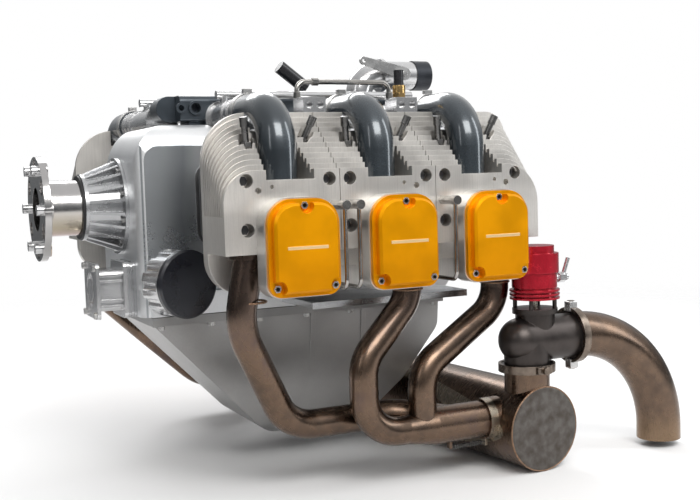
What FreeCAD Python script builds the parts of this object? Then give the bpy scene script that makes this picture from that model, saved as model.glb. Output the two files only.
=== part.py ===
"""Flat six-cylinder aircraft engine: opposed finned banks, deep sump, side exhaust with a waste valve.

Millimetres. +Z is up, +X runs rearward along the crankshaft, the near bank lies on -Y.
The origin is the centre of the propeller flange's front face.
Heads and what they carry are modelled about their own cylinder on the near side, with x = 0 at
the cylinder axis. The far bank is that bank mirrored in Y and set forward by the bank stagger.
"""
import FreeCAD, Part
import math
import os

V = FreeCAD.Vector

# ---- cylinders and banks ----
PITCH = 137.0                # from cylinder to cylinder in one bank
STAGGER = 68.5               # how far the far bank stands forward of the near one
FRONT_CYLINDER_X = 251.0     # near front cylinder axis
NEAR_X = [FRONT_CYLINDER_X + PITCH * i for i in range(3)]
BARREL_R = 50.0
BARREL_FIN_HALF = 57.0
BARREL_FIN_CORNER = 22.0
BARREL_FINS = 7
BARREL_FIN_T = 3.2

# ---- heads ----
HEAD_INNER_Y = 220.0
HEAD_DEPTH = 86.0
HEAD_STEPS = 12              # terraces from the inner plate to the outer face
HEAD_TOP_INNER = 117.0
HEAD_TOP_OUTER = 43.0
HEAD_BOTTOM = -58.0
HEAD_FLANGE_BOTTOM = -112.0
HEAD_FLANGE_T = 18.0
HEAD_FRONT_OVERHANG = 84.0   # the front heads ahead of their cylinder axis
HEAD_REAR_OVERHANG = 91.0    # the rear heads behind theirs
HEAD_SEAM = 0.8
HEAD_FRONT_CORNERS = (62.0, 40.0)  # on the innermost and outermost plate
HEAD_REAR_CORNERS = (30.0, 52.0)
HEAD_FLANGE_CORNER = 45.0
HEAD_FIN_FLOOR = -12.0       # no groove lies lower
HEAD_FIN_T = 4.4
HEAD_GROOVE_DEPTH = 11.0
HEAD_BOLT_X = 54.5
HEAD_BOLT_TOP_Z = 30.5
HEAD_BOLT_LOW_Z = -28.6
HEAD_BOLT_R = 6.8
HEAD_BOLT_SINK_R = 8.5
HEAD_BOLT_SINK = 20.0

# ---- intake ----
PORT_MOUTH = (-29.0, 34.0)   # mouth of the slot in the head that the intake tube drops into
PORT_BACK_HALF = 25.5
TUBE_ROOM = 3.0
PORT_FLOOR_Z = 31.0
INTAKE_R = 24.0
INTAKE_Y = 272.0
INTAKE_Z = 120.0
INTAKE_BEND = 52.0
INTAKE_END_Y = 165.0
STUB_R = 20.0
CLAMP_WIDTH = 12.0
CLAMP_T = 1.8
PLENUM_Y = -30.0
PLENUM_HALF_WIDTH = 30.0
PLENUM_BOTTOM = 116.0
PLENUM_TOP = 152.0
FOOT_HALF = 15.0
PLENUM_FRONT_X = 192.0
PLENUM_REAR_X = 560.0
STUB_FLANGE_R = 24.0
STUB_FLANGE_T = 5.0
STUB_RIBS = 3
RAIL_R = 6.0
RAIL_Y = 78.0
RAIL_Z = 151.0
INJECTOR_R = 6.0
PLUG_SINK_R = 9.5
PLUG_HEX = 14.0
PLUG_LENGTH = 44.0
BLOCK_WIDTH = 32.0
BLOCK_DEPTH = 34.0
BLOCK_HEIGHT = 20.0
BLOCK_SHIFT = 4.0            # how far a fuel block stands behind its head seam
CROSSOVER_R = 3.5
CROSSOVER_Z = 159.0
END_NUT_HEIGHT = 8.0
SENDER_NUT = 17.0            # across corners
SENDER_NUT_HEIGHT = 7.0
SENDER_R = 9.0
SENDER_HEIGHT = 18.0
SENDER_CAP_R = 6.8
SENDER_CAP_HEIGHT = 21.0
SOLENOID_R = 10.0
SOLENOID_LENGTH = 42.0

# ---- rocker boxes and covers ----
COVER_SHIFT = 4.0            # rocker gear behind its cylinder axis
COVER_HALF_WIDTH = 46.5
COVER_TOP = 8.0
COVER_BOTTOM = -109.0
COVER_T = 18.0
COVER_RIM_T = 6.5
COVER_STEP = 5.0
COVER_TOP_CORNER = 31.0
COVER_LOW_CORNER = 16.0
BOX_DEPTH = 27.0
BOX_LIP = 1.5
SCREW_LOW_X = 37.5
SCREW_TOP_INSET = 8.2
SCREW_LOW_INSET = 11.5
SCREW_R = 4.2
SCREW_HOLE_R = 2.8
OIL_PIPE_X = 59.0
OIL_PIPE_Z = -2.0
OIL_PIPE_R = 2.6
OIL_PIPE_REACH = 32.0
OIL_PIPE_DROP = 102.0

# ---- crankcase, nose and rear ----
CASE_FRONT_X = 113.0
CASE_REAR_X = 600.0
CASE_HALF_WIDTH = 110.0
CASE_TOP = 110.0
CASE_BOTTOM = -149.0
CASE_SHOULDER = 40.0
CASE_FRONT_SHOULDER = 53.0
CASE_CORNER_CUT = (57.0, 88.0, 115.0)  # legs of the sliced far top corner along X, Y and Z
CASE_FRONT_CORNER = 14.0
DECK_SINK = 1.5
DECK_MARGIN = 1.0            # sunk deck beyond the first barrel fin
SKIRT_STEP = 4.0             # skirt proud of the case walls
SKIRT_HALF_WIDTH = CASE_HALF_WIDTH + SKIRT_STEP
SKIRT_HEIGHT = 31.0
SKIRT_FRONT_X = 126.0
SKIRT_REAR_X = 576.0
REAR_COVER_T = 10.0
MOUNT_BOSS_R = 17.0
MOUNT_BOSS_LENGTH = 34.0
MOUNT_BORE_R = 5.5
MOUNT_PCD = 180.0
MOUNT_ANGLE = 45.0
LEDGE_HALF_WIDTH = 222.0
LEDGE_T = 9.0
LEDGE_Z = -133.0
LEDGE_FRONT_X = 313.0
LEDGE_REAR_X = 552.0
NOSE_FRONT_X = 59.0
NOSE_FRONT_R = 46.5
NOSE_BASE_R = 68.0
NOSE_RIB_BASE_R = 64.0
NOSE_CORE_BASE_R = 52.0
NOSE_RIBS = 20
NOSE_RIB_T = 4.0
NOSE_RING_T = 5.0
NOSE_FLANGE_T = 5.0

# ---- propeller shaft ----
SHAFT_R = 38.5
SHAFT_BORE_R = 30.0
SHAFT_END_X = 106.0
BEARING_FIT = 0.08
FLANGE_R = 72.0
FLANGE_T = 9.0
FLANGE_BOLT_PCD = 120.65
FLANGE_BOLTS = 6
FLANGE_BOSS_R = 12.0
FLANGE_BOSS_T = 11.5
BUSH_R = 7.0
BUSH_REACH = 9.0
BUSH_BORE_R = 4.0

# ---- accessory housing and oil filter ----
GEAR_Y = -48.0
GEAR_Z = -112.0
GEAR_HALF = 38.0
GEAR_LENGTH = 54.0
GEAR_FLANGE_T = 5.0
GEAR_PLATE_T = 4.0
GEAR_PLATES = 3
FILTER_X = 166.0
FILTER_Y = -140.0
FILTER_Z = -104.0
FILTER_TURN = 18.5
FILTER_R = 46.0
FILTER_CAP_T = 9.0
COLLAR_LENGTH = 38.0
COLLAR_R = 44.5
COLLAR_FLUTES = 12

# ---- sump ----
GASKET_T = 1.0
SUMP_FLANGE_T = 12.0
SUMP_BOTTOM = -338.0
SUMP_LOW_HALF = 84.0
SUMP_BOLT_HEX = 8.5
SUMP_LAND = SUMP_BOLT_HEX + 1.5    # flange beside the pan, under the bolt heads
SUMP_TOP_HALF = SKIRT_HALF_WIDTH - SUMP_LAND
SUMP_BOLTS = 7

# ---- exhaust ----
EXHAUST_OFFSET = 42.0        # port beside its cylinder axis
EXHAUST_Y = 270.0
PIPE_R = 19.0
PIPE_FLANGE_R = 25.0
PIPE_FLANGE_T = 7.0
COLLECTOR_R = 25.0
COLLECTOR_Y = 285.0
COLLECTOR_Z = -304.0
COLLECTOR_END_X = NEAR_X[-1] + 5.0    # where both collectors meet the muffler
MUFFLER_R = 58.0
MUFFLER_WALL = 3.0
MUFFLER_X = COLLECTOR_END_X + 72.0    # axis at the near end
MUFFLER_Z = -318.0
MUFFLER_HALF = 332.0
RISER_X = MUFFLER_X - 6.0             # neck between muffler and valve
VALVE_X = RISER_X + 15.0              # axis of the seat, stem and actuator
VALVE_Y = -302.0
VALVE_Z = -199.0
INLET_BORE_R = 24.0
VALVE_R = 31.0
VALVE_BORE_R = 25.0
VALVE_NOSE_X = VALVE_X - 55.0
SEAT_R = 19.0
SEAT_DEPTH = 6.0
NECK_R = 31.0
LIP_R = 35.0
LIP_T = 4.0
BAND_R = 39.0
BAND_WIDTH = 11.0
BAND_Z = -236.0
OUTLET_X = VALVE_X + 61.0
DUMP_R = 31.5
DUMP_WALL = 2.5
DUMP_BEND = 148.0
DUMP_END_Z = -366.0
STEM_R = 4.0
STEM_FIT = 0.08
POPPET_R = 23.0
POPPET_T = 5.0
VALVE_LIFT = 8.0
ACTUATOR_R = 33.5
ACTUATOR_BASE = -143.0
ACTUATOR_TOP = -70.0

# ---- throttle ----
THROTTLE_Z = 186.0
THROTTLE_R = 21.5
THROTTLE_BORE_R = 17.0
THROTTLE_FRONT_X = NEAR_X[-1] - 6.0
THROTTLE_LENGTH = 58.0
INLET_RING_R = 23.0
INLET_RING_LENGTH = 26.0
SPINDLE_R = 4.0
SPINDLE_FIT = 0.06
DISC_GAP = 0.5
DISC_T = 2.4
LEVER_LENGTH = 72.0
LEVER_ANGLE = 165.0
LEVER_T = 4.0

PLUG_HOLES = ((40.0, 18.3, 4.0), (22.0, 22.5, 2.6))      # x, z and radius of blind holes by the port
CYLINDERS = ("front", "middle", "rear")


# ---------------------------------------------------------------- shapes
def block(x0, x1, y0, y1, z0, z1):
    return Part.makeBox(x1 - x0, y1 - y0, z1 - z0, V(x0, y0, z0))


def rod(radius, start, end):
    axis = end - start
    return Part.makeCylinder(radius, axis.Length, start, axis)


def taper(start_radius, end_radius, start, end):
    axis = end - start
    return Part.makeCone(start_radius, end_radius, axis.Length, start, axis)


def ring(outer, inner, start, end):
    return rod(outer, start, end).cut(rod(inner, start, end))


def hexagon(across_flats, start, end):
    """Six-sided bar whose flats are `across_flats` apart."""
    turn = FreeCAD.Rotation(V(0, 0, 1), end - start)
    reach = across_flats / math.sqrt(3)
    angles = [math.radians(60 * i) for i in range(6)]
    corners = [start + turn.multVec(V(math.cos(a), math.sin(a), 0) * reach) for a in angles]
    face = Part.Face(Part.makePolygon(corners + corners[:1]))
    return face.extrude(end - start)


def rounded_edges(points, radii, closed):
    """Straight runs joined by tangent arcs of the given radii, 0 for a sharp corner."""
    corners = []
    for i, (point, radius) in enumerate(zip(points, radii)):
        if not radius:
            corners.append((point, None, point))
            continue
        back = (points[i - 1] - point).normalize()
        ahead = (points[(i + 1) % len(points)] - point).normalize()
        half = back.getAngle(ahead) / 2
        reach = radius / math.tan(half)
        middle = point + (back + ahead).normalize() * (radius / math.sin(half) - radius)
        corners.append((point + back * reach, middle, point + ahead * reach))
    edges = []
    for i, (start, middle, end) in enumerate(corners):
        if middle:
            edges.append(Part.Arc(start, middle, end).toShape())
        if closed or i + 1 < len(corners):
            ahead = corners[(i + 1) % len(corners)][0]
            if end.distanceToPoint(ahead) > 1e-6:
                edges.append(Part.makeLine(end, ahead))
    return edges


def on_xz(y):
    return lambda u, v: V(u, y, v)


def on_yz(x):
    return lambda u, v: V(x, u, v)


def on_xy(z):
    return lambda u, v: V(u, v, z)


def prism(corners, plane, sweep):
    """Extrusion of an outline of (u, v, corner radius) drawn on a plane."""
    points = [plane(u, v) for u, v, radius in corners]
    radii = [radius for u, v, radius in corners]
    return Part.Face(Part.Wire(rounded_edges(points, radii, True))).extrude(sweep)


def rectangle(u0, u1, v0, v1, low_radius, top_radius):
    return [(u0, v0, low_radius), (u1, v0, low_radius), (u1, v1, top_radius), (u0, v1, top_radius)]


def bent_bar(points, bends, radius):
    """Round bar along a route whose inner corners have the given bend radii."""
    path = Part.Wire(rounded_edges(points, [0] + bends + [0], False))
    circle = Part.makeCircle(radius, points[0], points[1] - points[0])
    return path.makePipeShell([Part.Wire(circle)], True, False)


def fused(shapes):
    return shapes[0].multiFuse(shapes[1:]).removeSplitter()


def moved(shape, x, y=0.0, z=0.0):
    copy = shape.copy()
    copy.translate(V(x, y, z))
    return copy


def far_side(shape):
    """The far bank's twin of a near-bank piece."""
    return moved(shape.mirror(V(0, 0, 0), V(0, 1, 0)), -STAGGER)


def write(name, shapes):
    solids = [solid for shape in shapes for solid in shape.Solids]
    Part.makeCompound(solids).exportStep(f"parts/{name}.step")


# ---------------------------------------------------------------- banks
def port_side(index):
    """-1 where the exhaust port lies ahead of the cylinder, +1 where it lies behind."""
    return -1 if index == 0 else 1


def barrel():
    """Finned cylinder from the crankcase deck to the head, open bore left solid."""
    deck = -(CASE_HALF_WIDTH - DECK_SINK)
    length = HEAD_INNER_Y + deck
    square = rectangle(-BARREL_FIN_HALF, BARREL_FIN_HALF, -BARREL_FIN_HALF, BARREL_FIN_HALF,
                       BARREL_FIN_CORNER, BARREL_FIN_CORNER)
    spacing = (length - BARREL_FIN_T) / (BARREL_FINS - 1)
    fins = [prism(square, on_xz(deck - spacing * i), V(0, -BARREL_FIN_T, 0)) for i in range(BARREL_FINS)]
    return fused([rod(BARREL_R, V(0, deck, 0), V(0, -HEAD_INNER_Y, 0))] + fins)


def head_reach(ends):
    """Front and rear faces of a head about its cylinder axis."""
    joint = (PITCH - HEAD_SEAM) / 2
    return -(HEAD_FRONT_OVERHANG if ends[0] else joint), HEAD_REAR_OVERHANG if ends[1] else joint


def terrace(step, inset, ends, depth):
    """One plate of the stepped fin stack, drawn in from its free edges by `inset`."""
    share = step / (HEAD_STEPS - 1)
    top = HEAD_TOP_INNER + (HEAD_TOP_OUTER - HEAD_TOP_INNER) * share - inset
    front_corner, rear_corner = [inner + (outer - inner) * share - inset
                                 for inner, outer in (HEAD_FRONT_CORNERS, HEAD_REAR_CORNERS)]
    front, rear = head_reach(ends)
    front += inset if ends[0] else 0
    rear -= inset if ends[1] else 0
    outline = [(front, HEAD_FIN_FLOOR, 0), (rear, HEAD_FIN_FLOOR, 0),
               (rear, top, rear_corner if ends[1] else 0), (front, top, front_corner if ends[0] else 0)]
    y = -HEAD_INNER_Y - HEAD_DEPTH * step / HEAD_STEPS
    return outline, y, depth


def head_blank(ends):
    """Terraced fins over a plain lower block, a base flange and a sloping chin."""
    plate = HEAD_DEPTH / HEAD_STEPS
    shapes = []
    for step in range(HEAD_STEPS):
        last = step == HEAD_STEPS - 1
        fin_depth = plate if last or step == 0 else HEAD_FIN_T
        outline, y, depth = terrace(step, 0, ends, fin_depth)
        shapes.append(prism(outline, on_xz(y), V(0, -depth, 0)))
        if fin_depth < plate:
            outline, y, depth = terrace(step, HEAD_GROOVE_DEPTH, ends, plate - fin_depth)
            shapes.append(prism(outline, on_xz(y - fin_depth), V(0, -depth, 0)))
    front, rear = head_reach(ends)
    outer = -HEAD_INNER_Y - HEAD_DEPTH
    shapes.append(block(front, rear, outer, -HEAD_INNER_Y, HEAD_BOTTOM, HEAD_FIN_FLOOR))
    corners = [(front, HEAD_FLANGE_BOTTOM, HEAD_FLANGE_CORNER if ends[0] else 0),
               (rear, HEAD_FLANGE_BOTTOM, HEAD_FLANGE_CORNER if ends[1] else 0),
               (rear, HEAD_BOTTOM, 0), (front, HEAD_BOTTOM, 0)]
    shapes.append(prism(corners, on_xz(-HEAD_INNER_Y), V(0, -HEAD_FLANGE_T, 0)))
    chin_back = -HEAD_INNER_Y - HEAD_FLANGE_T
    chin = [(chin_back, HEAD_BOTTOM, 0), (outer + HEAD_FLANGE_T, HEAD_BOTTOM, 0),
            (chin_back, (HEAD_BOTTOM + HEAD_FLANGE_BOTTOM) / 2, 0)]
    inner_front = front + (HEAD_FLANGE_CORNER if ends[0] else 0)
    inner_rear = rear - (HEAD_FLANGE_CORNER if ends[1] else 0)
    shapes.append(prism(chin, on_yz(inner_front), V(inner_rear - inner_front, 0, 0)))
    return fused(shapes)


def head_bolt_places():
    return [(side * HEAD_BOLT_X, z) for side in (-1, 1) for z in (HEAD_BOLT_TOP_Z, HEAD_BOLT_LOW_Z)]


def plug_axis(side):
    """Seat and direction of a spark plug: the front one stands up, the rear one leans back."""
    if side < 0:
        return V(-PORT_BACK_HALF - PLUG_SINK_R, -INTAKE_Y + 14, HEAD_TOP_INNER - 51), V(-0.12, -0.15, 0.98)
    return V(PORT_BACK_HALF + PLUG_SINK_R + 4, -INTAKE_Y + 22, HEAD_TOP_INNER - 47), V(0.42, -0.12, 0.90)


def tube_slot(outer):
    """Slot open to the head's outer face, and the saddle that follows the tube's bend above it."""
    back = -INTAKE_Y + INTAKE_R + TUBE_ROOM
    centre_z = INTAKE_Z - INTAKE_BEND
    plan = [(PORT_MOUTH[0], outer, 0), (PORT_MOUTH[1], outer, 0),
            (PORT_BACK_HALF, back, 0), (-PORT_BACK_HALF, back, 0)]
    slot = prism(plan, on_xy(PORT_FLOOR_Z), V(0, 0, HEAD_TOP_INNER - PORT_FLOOR_Z))
    above = block(-PORT_BACK_HALF, PORT_BACK_HALF, back, -HEAD_INNER_Y, centre_z, HEAD_TOP_INNER)
    inside = [V(x, -INTAKE_Y + INTAKE_BEND, centre_z) for x in (-PORT_BACK_HALF, PORT_BACK_HALF)]
    return [slot, above.cut(rod(INTAKE_BEND - INTAKE_R - TUBE_ROOM, *inside))]


def head(ends, side):
    outer = -HEAD_INNER_Y - HEAD_DEPTH
    cuts = tube_slot(outer)
    for x, z in head_bolt_places():
        cuts.append(rod(HEAD_BOLT_SINK_R, V(x, outer, z), V(x, outer + HEAD_BOLT_SINK, z)))
    for x, z, radius in PLUG_HOLES:
        cuts.append(rod(radius, V(side * x, outer, z), V(side * x, outer + 2.5 * radius, z)))
    for lean in (-1, 1):
        seat, axis = plug_axis(lean)
        cuts.append(rod(PLUG_SINK_R, seat, seat + axis * (HEAD_TOP_INNER - PORT_FLOOR_Z)))
    port = V(side * EXHAUST_OFFSET, -EXHAUST_Y, HEAD_BOTTOM)
    cuts.append(rod(PIPE_FLANGE_R + 1, port, port + V(0, 0, HEAD_FLANGE_BOTTOM)))
    return head_blank(ends).cut(Part.makeCompound(cuts))


def head_bolts():
    seat = -HEAD_INNER_Y - HEAD_DEPTH + HEAD_BOLT_SINK
    return [hexagon(1.6 * HEAD_BOLT_R, V(x, seat, z), V(x, seat - HEAD_BOLT_R, z))
            for x, z in head_bolt_places()]


def spark_plug(lean):
    seat, axis = plug_axis(lean)
    hexes = seat + axis * (PLUG_LENGTH * 0.30)
    shoulder = seat + axis * (PLUG_LENGTH * 0.72)
    return fused([hexagon(PLUG_HEX, seat, hexes),
                  rod(PLUG_HEX * 0.30, hexes, shoulder),
                  rod(PLUG_HEX * 0.38, shoulder, seat + axis * PLUG_LENGTH)])


def cover_outline(grow):
    half = COVER_HALF_WIDTH + grow
    return rectangle(COVER_SHIFT - half, COVER_SHIFT + half, COVER_BOTTOM - grow, COVER_TOP + grow,
                     COVER_LOW_CORNER + grow, COVER_TOP_CORNER + grow)


def rocker_box():
    return prism(cover_outline(BOX_LIP), on_xz(-HEAD_INNER_Y - HEAD_DEPTH), V(0, -BOX_DEPTH, 0))


def cover_screw_places():
    low = COVER_BOTTOM + SCREW_LOW_INSET
    return [(COVER_SHIFT, COVER_TOP - SCREW_TOP_INSET),
            (COVER_SHIFT - SCREW_LOW_X, low), (COVER_SHIFT + SCREW_LOW_X, low)]


def rocker_cover():
    """Rim plate and a raised face, scalloped round its three screws."""
    seat = -HEAD_INNER_Y - HEAD_DEPTH - BOX_DEPTH
    face = prism(cover_outline(-COVER_STEP), on_xz(seat - COVER_RIM_T), V(0, COVER_RIM_T - COVER_T, 0))
    scallops = [rod(2.2 * SCREW_R, V(x, seat - COVER_RIM_T, z), V(x, seat - COVER_T, z))
                for x, z in cover_screw_places()]
    front = [edge for edge in face.Edges if edge.BoundBox.YMax < seat - COVER_T + 0.01]
    face = face.makeChamfer(COVER_STEP * 0.6, front).cut(Part.makeCompound(scallops))
    holes = [rod(SCREW_HOLE_R, V(x, seat, z), V(x, seat - COVER_RIM_T, z)) for x, z in cover_screw_places()]
    rim = prism(cover_outline(0), on_xz(seat), V(0, -COVER_RIM_T, 0))
    return fused([rim, face]).cut(Part.makeCompound(holes))


def cover_screws():
    box = -HEAD_INNER_Y - HEAD_DEPTH - BOX_DEPTH
    seat = box - COVER_RIM_T
    return [fused([rod(SCREW_HOLE_R, V(x, box, z), V(x, seat, z)),
                   hexagon(2 * SCREW_R, V(x, seat, z), V(x, seat - SCREW_R, z))])
            for x, z in cover_screw_places()]


def oil_pipe(side):
    """Banjo on the head face, pipe down beside the rocker box and back to the head's base flange."""
    face = -HEAD_INNER_Y - HEAD_DEPTH
    x = -side * OIL_PIPE_X
    line = face - OIL_PIPE_REACH
    banjo = 2.3 * OIL_PIPE_R
    end = V(x, -HEAD_INNER_Y - HEAD_FLANGE_T, OIL_PIPE_Z - OIL_PIPE_DROP)
    return fused([hexagon(4.2 * OIL_PIPE_R, V(x, face, OIL_PIPE_Z), V(x, line + banjo, OIL_PIPE_Z)),
                  rod(banjo, V(x, line + banjo, OIL_PIPE_Z), V(x, line - banjo, OIL_PIPE_Z)),
                  bent_bar([V(x, line, OIL_PIPE_Z), V(x, line, end.z), end], [4 * OIL_PIPE_R], OIL_PIPE_R),
                  hexagon(3.4 * OIL_PIPE_R, end, end - V(0, 4 * OIL_PIPE_R, 0))])


def intake_tube():
    """Down-draught elbow from the stub beside the plenum into the head's slot."""
    return bent_bar([V(0, -INTAKE_Y, PORT_FLOOR_Z), V(0, -INTAKE_Y, INTAKE_Z),
                     V(0, -INTAKE_END_Y, INTAKE_Z)],
                    [INTAKE_BEND], INTAKE_R)


def rail_seat_z():
    return INTAKE_Z + STUB_R + 1


def intake_stub(wall):
    """Barbed spigot between the plenum wall and the elbow, with a flat seat for the fuel rail."""
    shapes = [rod(STUB_R, V(0, wall, INTAKE_Z), V(0, -INTAKE_END_Y, INTAKE_Z)),
              rod(STUB_FLANGE_R, V(0, wall, INTAKE_Z), V(0, wall - STUB_FLANGE_T, INTAKE_Z)),
              rod(1.3 * INJECTOR_R, V(0, -RAIL_Y, INTAKE_Z), V(0, -RAIL_Y, rail_seat_z()))]
    pitch = (INTAKE_END_Y - RAIL_Y - 4 * INJECTOR_R) / STUB_RIBS
    for i in range(STUB_RIBS):
        y = -INTAKE_END_Y + pitch * i
        shapes.append(rod((STUB_R + INTAKE_R) / 2, V(0, y, INTAKE_Z), V(0, y + pitch * 0.45, INTAKE_Z)))
    return fused(shapes)


def hose_clamp():
    start = V(0, -INTAKE_END_Y, INTAKE_Z)
    band = ring(INTAKE_R + CLAMP_T, INTAKE_R, start, start - V(0, CLAMP_WIDTH, 0))
    top = INTAKE_Z + INTAKE_R
    lug = block(-CLAMP_WIDTH / 2, CLAMP_WIDTH / 2, -INTAKE_END_Y - CLAMP_WIDTH * 0.8,
                -INTAKE_END_Y - CLAMP_WIDTH * 0.2, top + CLAMP_T / 2, top + 4 * CLAMP_T)
    return fused([band, lug])


def fuel_rail():
    """Rail along one bank, carried on each stub by an injector boss."""
    ends = [V(NEAR_X[0] - 2 * RAIL_R, -RAIL_Y, RAIL_Z), V(NEAR_X[-1] + 4 * RAIL_R, -RAIL_Y, RAIL_Z)]
    bosses = [rod(INJECTOR_R, V(x, -RAIL_Y, rail_seat_z()), V(x, -RAIL_Y, RAIL_Z)) for x in NEAR_X]
    return fused([rod(RAIL_R, ends[0], ends[1])] + bosses)


# ---------------------------------------------------------------- crankcase, nose, rear
def filter_axis():
    turn = math.radians(FILTER_TURN)
    return V(FILTER_X, FILTER_Y, FILTER_Z), V(math.sin(turn), -math.cos(turn), 0)


def crankcase():
    """Deep box of three crossed outlines with sunk cylinder decks, a lower skirt and side ledges."""
    half = CASE_HALF_WIDTH
    length = CASE_REAR_X - CASE_FRONT_X
    height = CASE_TOP - CASE_BOTTOM
    across = prism(rectangle(-half, half, CASE_BOTTOM, CASE_TOP, 0, CASE_SHOULDER),
                   on_yz(CASE_FRONT_X), V(length, 0, 0))
    along = prism([(CASE_FRONT_X, CASE_BOTTOM, 0), (SKIRT_REAR_X, CASE_BOTTOM, 0),
                   (CASE_REAR_X, CASE_BOTTOM + SKIRT_HEIGHT, 0), (CASE_REAR_X, CASE_TOP, CASE_SHOULDER / 2),
                   (CASE_FRONT_X, CASE_TOP, CASE_FRONT_SHOULDER)], on_xz(-half), V(0, 2 * half, 0))
    plan = prism([(CASE_FRONT_X, -half, CASE_FRONT_CORNER), (CASE_REAR_X, -half, 0),
                  (CASE_REAR_X, half, 0), (CASE_FRONT_X, half, CASE_FRONT_CORNER)],
                 on_xy(CASE_BOTTOM), V(0, 0, height))
    skirt = block(SKIRT_FRONT_X, SKIRT_REAR_X, -SKIRT_HALF_WIDTH, SKIRT_HALF_WIDTH,
                  CASE_BOTTOM, CASE_BOTTOM + SKIRT_HEIGHT)
    centre, axis = filter_axis()
    seat = centre - axis * COLLAR_LENGTH
    boss = rod(COLLAR_R * 0.85, seat - axis * COLLAR_LENGTH / 2, seat)
    decks = []
    deck_front = NEAR_X[0] - STAGGER - BARREL_FIN_HALF - DECK_MARGIN
    deck_top = CASE_TOP - CASE_SHOULDER * 0.75
    for sign in (-1, 1):
        y0, y1 = sorted((sign * half, sign * (half - DECK_SINK)))
        panel = rectangle(deck_front, CASE_REAR_X, CASE_BOTTOM + SKIRT_HEIGHT,
                          deck_top, 0, CASE_SHOULDER / 2)
        decks.append(prism(panel, on_xz(y0), V(0, y1 - y0, 0)))
    corner = V(CASE_FRONT_X, half, CASE_TOP)
    legs = [corner + V(CASE_CORNER_CUT[0], 0, 0), corner - V(0, CASE_CORNER_CUT[1], 0),
            corner - V(0, 0, CASE_CORNER_CUT[2])]
    outward = (legs[1] - legs[0]).cross(legs[2] - legs[0]).normalize()
    outward *= math.copysign(corner.distanceToPoint(legs[0]), outward.dot(corner - legs[0]))
    slice_off = Part.Face(Part.makePolygon(legs + legs[:1])).extrude(outward)
    case = across.common(along).common(plan).cut(Part.makeCompound(decks)).cut(slice_off)
    trough_r = STUB_FLANGE_R + TUBE_ROOM
    edge = PLENUM_Y - PLENUM_HALF_WIDTH
    far_edge = PLENUM_Y + PLENUM_HALF_WIDTH
    troughs = [rod(trough_r, V(x, edge, INTAKE_Z), V(x, -2 * half, INTAKE_Z)) for x in NEAR_X]
    troughs += [rod(trough_r, V(x - STAGGER, far_edge, INTAKE_Z), V(x - STAGGER, 2 * half, INTAKE_Z))
                for x in NEAR_X]
    case = case.cut(Part.makeCompound(troughs))
    case = case.fuse(skirt).fuse(boss).cut(rod(COLLAR_R + 1, seat, centre + axis * COLLAR_LENGTH))
    return case.cut(rod(SHAFT_R + 3, V(CASE_FRONT_X, 0, 0), V(CASE_FRONT_X + 1, 0, 0))).removeSplitter()


def ledges():
    """Flat trays that run from the skirt out under the rear heads, near and far."""
    near = block(LEDGE_FRONT_X, LEDGE_REAR_X, -LEDGE_HALF_WIDTH, -SKIRT_HALF_WIDTH,
                 LEDGE_Z - LEDGE_T, LEDGE_Z)
    return [near, far_side(near)]


def mount_places():
    reach = MOUNT_PCD / 2
    angles = [math.radians(a) for a in (MOUNT_ANGLE, 180 - MOUNT_ANGLE, 180 + MOUNT_ANGLE, -MOUNT_ANGLE)]
    return [(reach * math.cos(a), reach * math.sin(a)) for a in angles]


def rear_cover():
    """Accessory cover plate with a central boss and four bored engine-mount bosses."""
    half = CASE_HALF_WIDTH - CASE_FRONT_CORNER
    plate = prism(rectangle(-half, half, CASE_BOTTOM + SKIRT_HEIGHT, CASE_TOP - CASE_SHOULDER / 2,
                            CASE_FRONT_CORNER, CASE_SHOULDER), on_yz(CASE_REAR_X), V(REAR_COVER_T, 0, 0))
    face = CASE_REAR_X + REAR_COVER_T
    shapes = [plate, rod(SHAFT_R, V(face, 0, 0), V(face + MOUNT_BOSS_LENGTH / 2, 0, 0))]
    shapes += [taper(MOUNT_BOSS_R, MOUNT_BOSS_R * 0.75, V(face, y, z), V(face + MOUNT_BOSS_LENGTH, y, z))
               for y, z in mount_places()]
    bores = [rod(MOUNT_BORE_R, V(face, y, z), V(face + MOUNT_BOSS_LENGTH, y, z)) for y, z in mount_places()]
    return fused(shapes).cut(Part.makeCompound(bores))


def nose_case():
    """Bored cone with ribs that deepen towards its base."""
    base = CASE_FRONT_X
    root = base - NOSE_FLANGE_T
    ring_back = NOSE_FRONT_X + NOSE_RING_T
    core_front = NOSE_FRONT_R - NOSE_RIB_T / 2
    core = taper(core_front, NOSE_CORE_BASE_R, V(ring_back, 0, 0), V(root, 0, 0))
    front = rod(NOSE_FRONT_R, V(NOSE_FRONT_X, 0, 0), V(ring_back, 0, 0))
    flange = rod(NOSE_BASE_R, V(root, 0, 0), V(base, 0, 0))
    corners = [(ring_back, SHAFT_R + 2, 0), (root, SHAFT_R + 2, 0), (root, NOSE_RIB_BASE_R, 0),
               (ring_back, NOSE_FRONT_R, 0)]
    rib = prism(corners, on_xz(-NOSE_RIB_T / 2), V(0, NOSE_RIB_T, 0))
    ribs = []
    for i in range(NOSE_RIBS):
        turned = rib.copy()
        turned.rotate(V(0, 0, 0), V(1, 0, 0), 360 * (i + 0.5) / NOSE_RIBS)
        ribs.append(turned)
    bore = rod(SHAFT_R + BEARING_FIT, V(NOSE_FRONT_X, 0, 0), V(base, 0, 0))
    return fused([core, front, flange] + ribs).cut(bore)


def shaft_seal():
    return ring(NOSE_FRONT_R - 2, SHAFT_R + 0.3, V(NOSE_FRONT_X - 3, 0, 0), V(NOSE_FRONT_X, 0, 0))


def flange_angles():
    return [2 * math.pi * i / FLANGE_BOLTS for i in range(FLANGE_BOLTS)]


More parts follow.
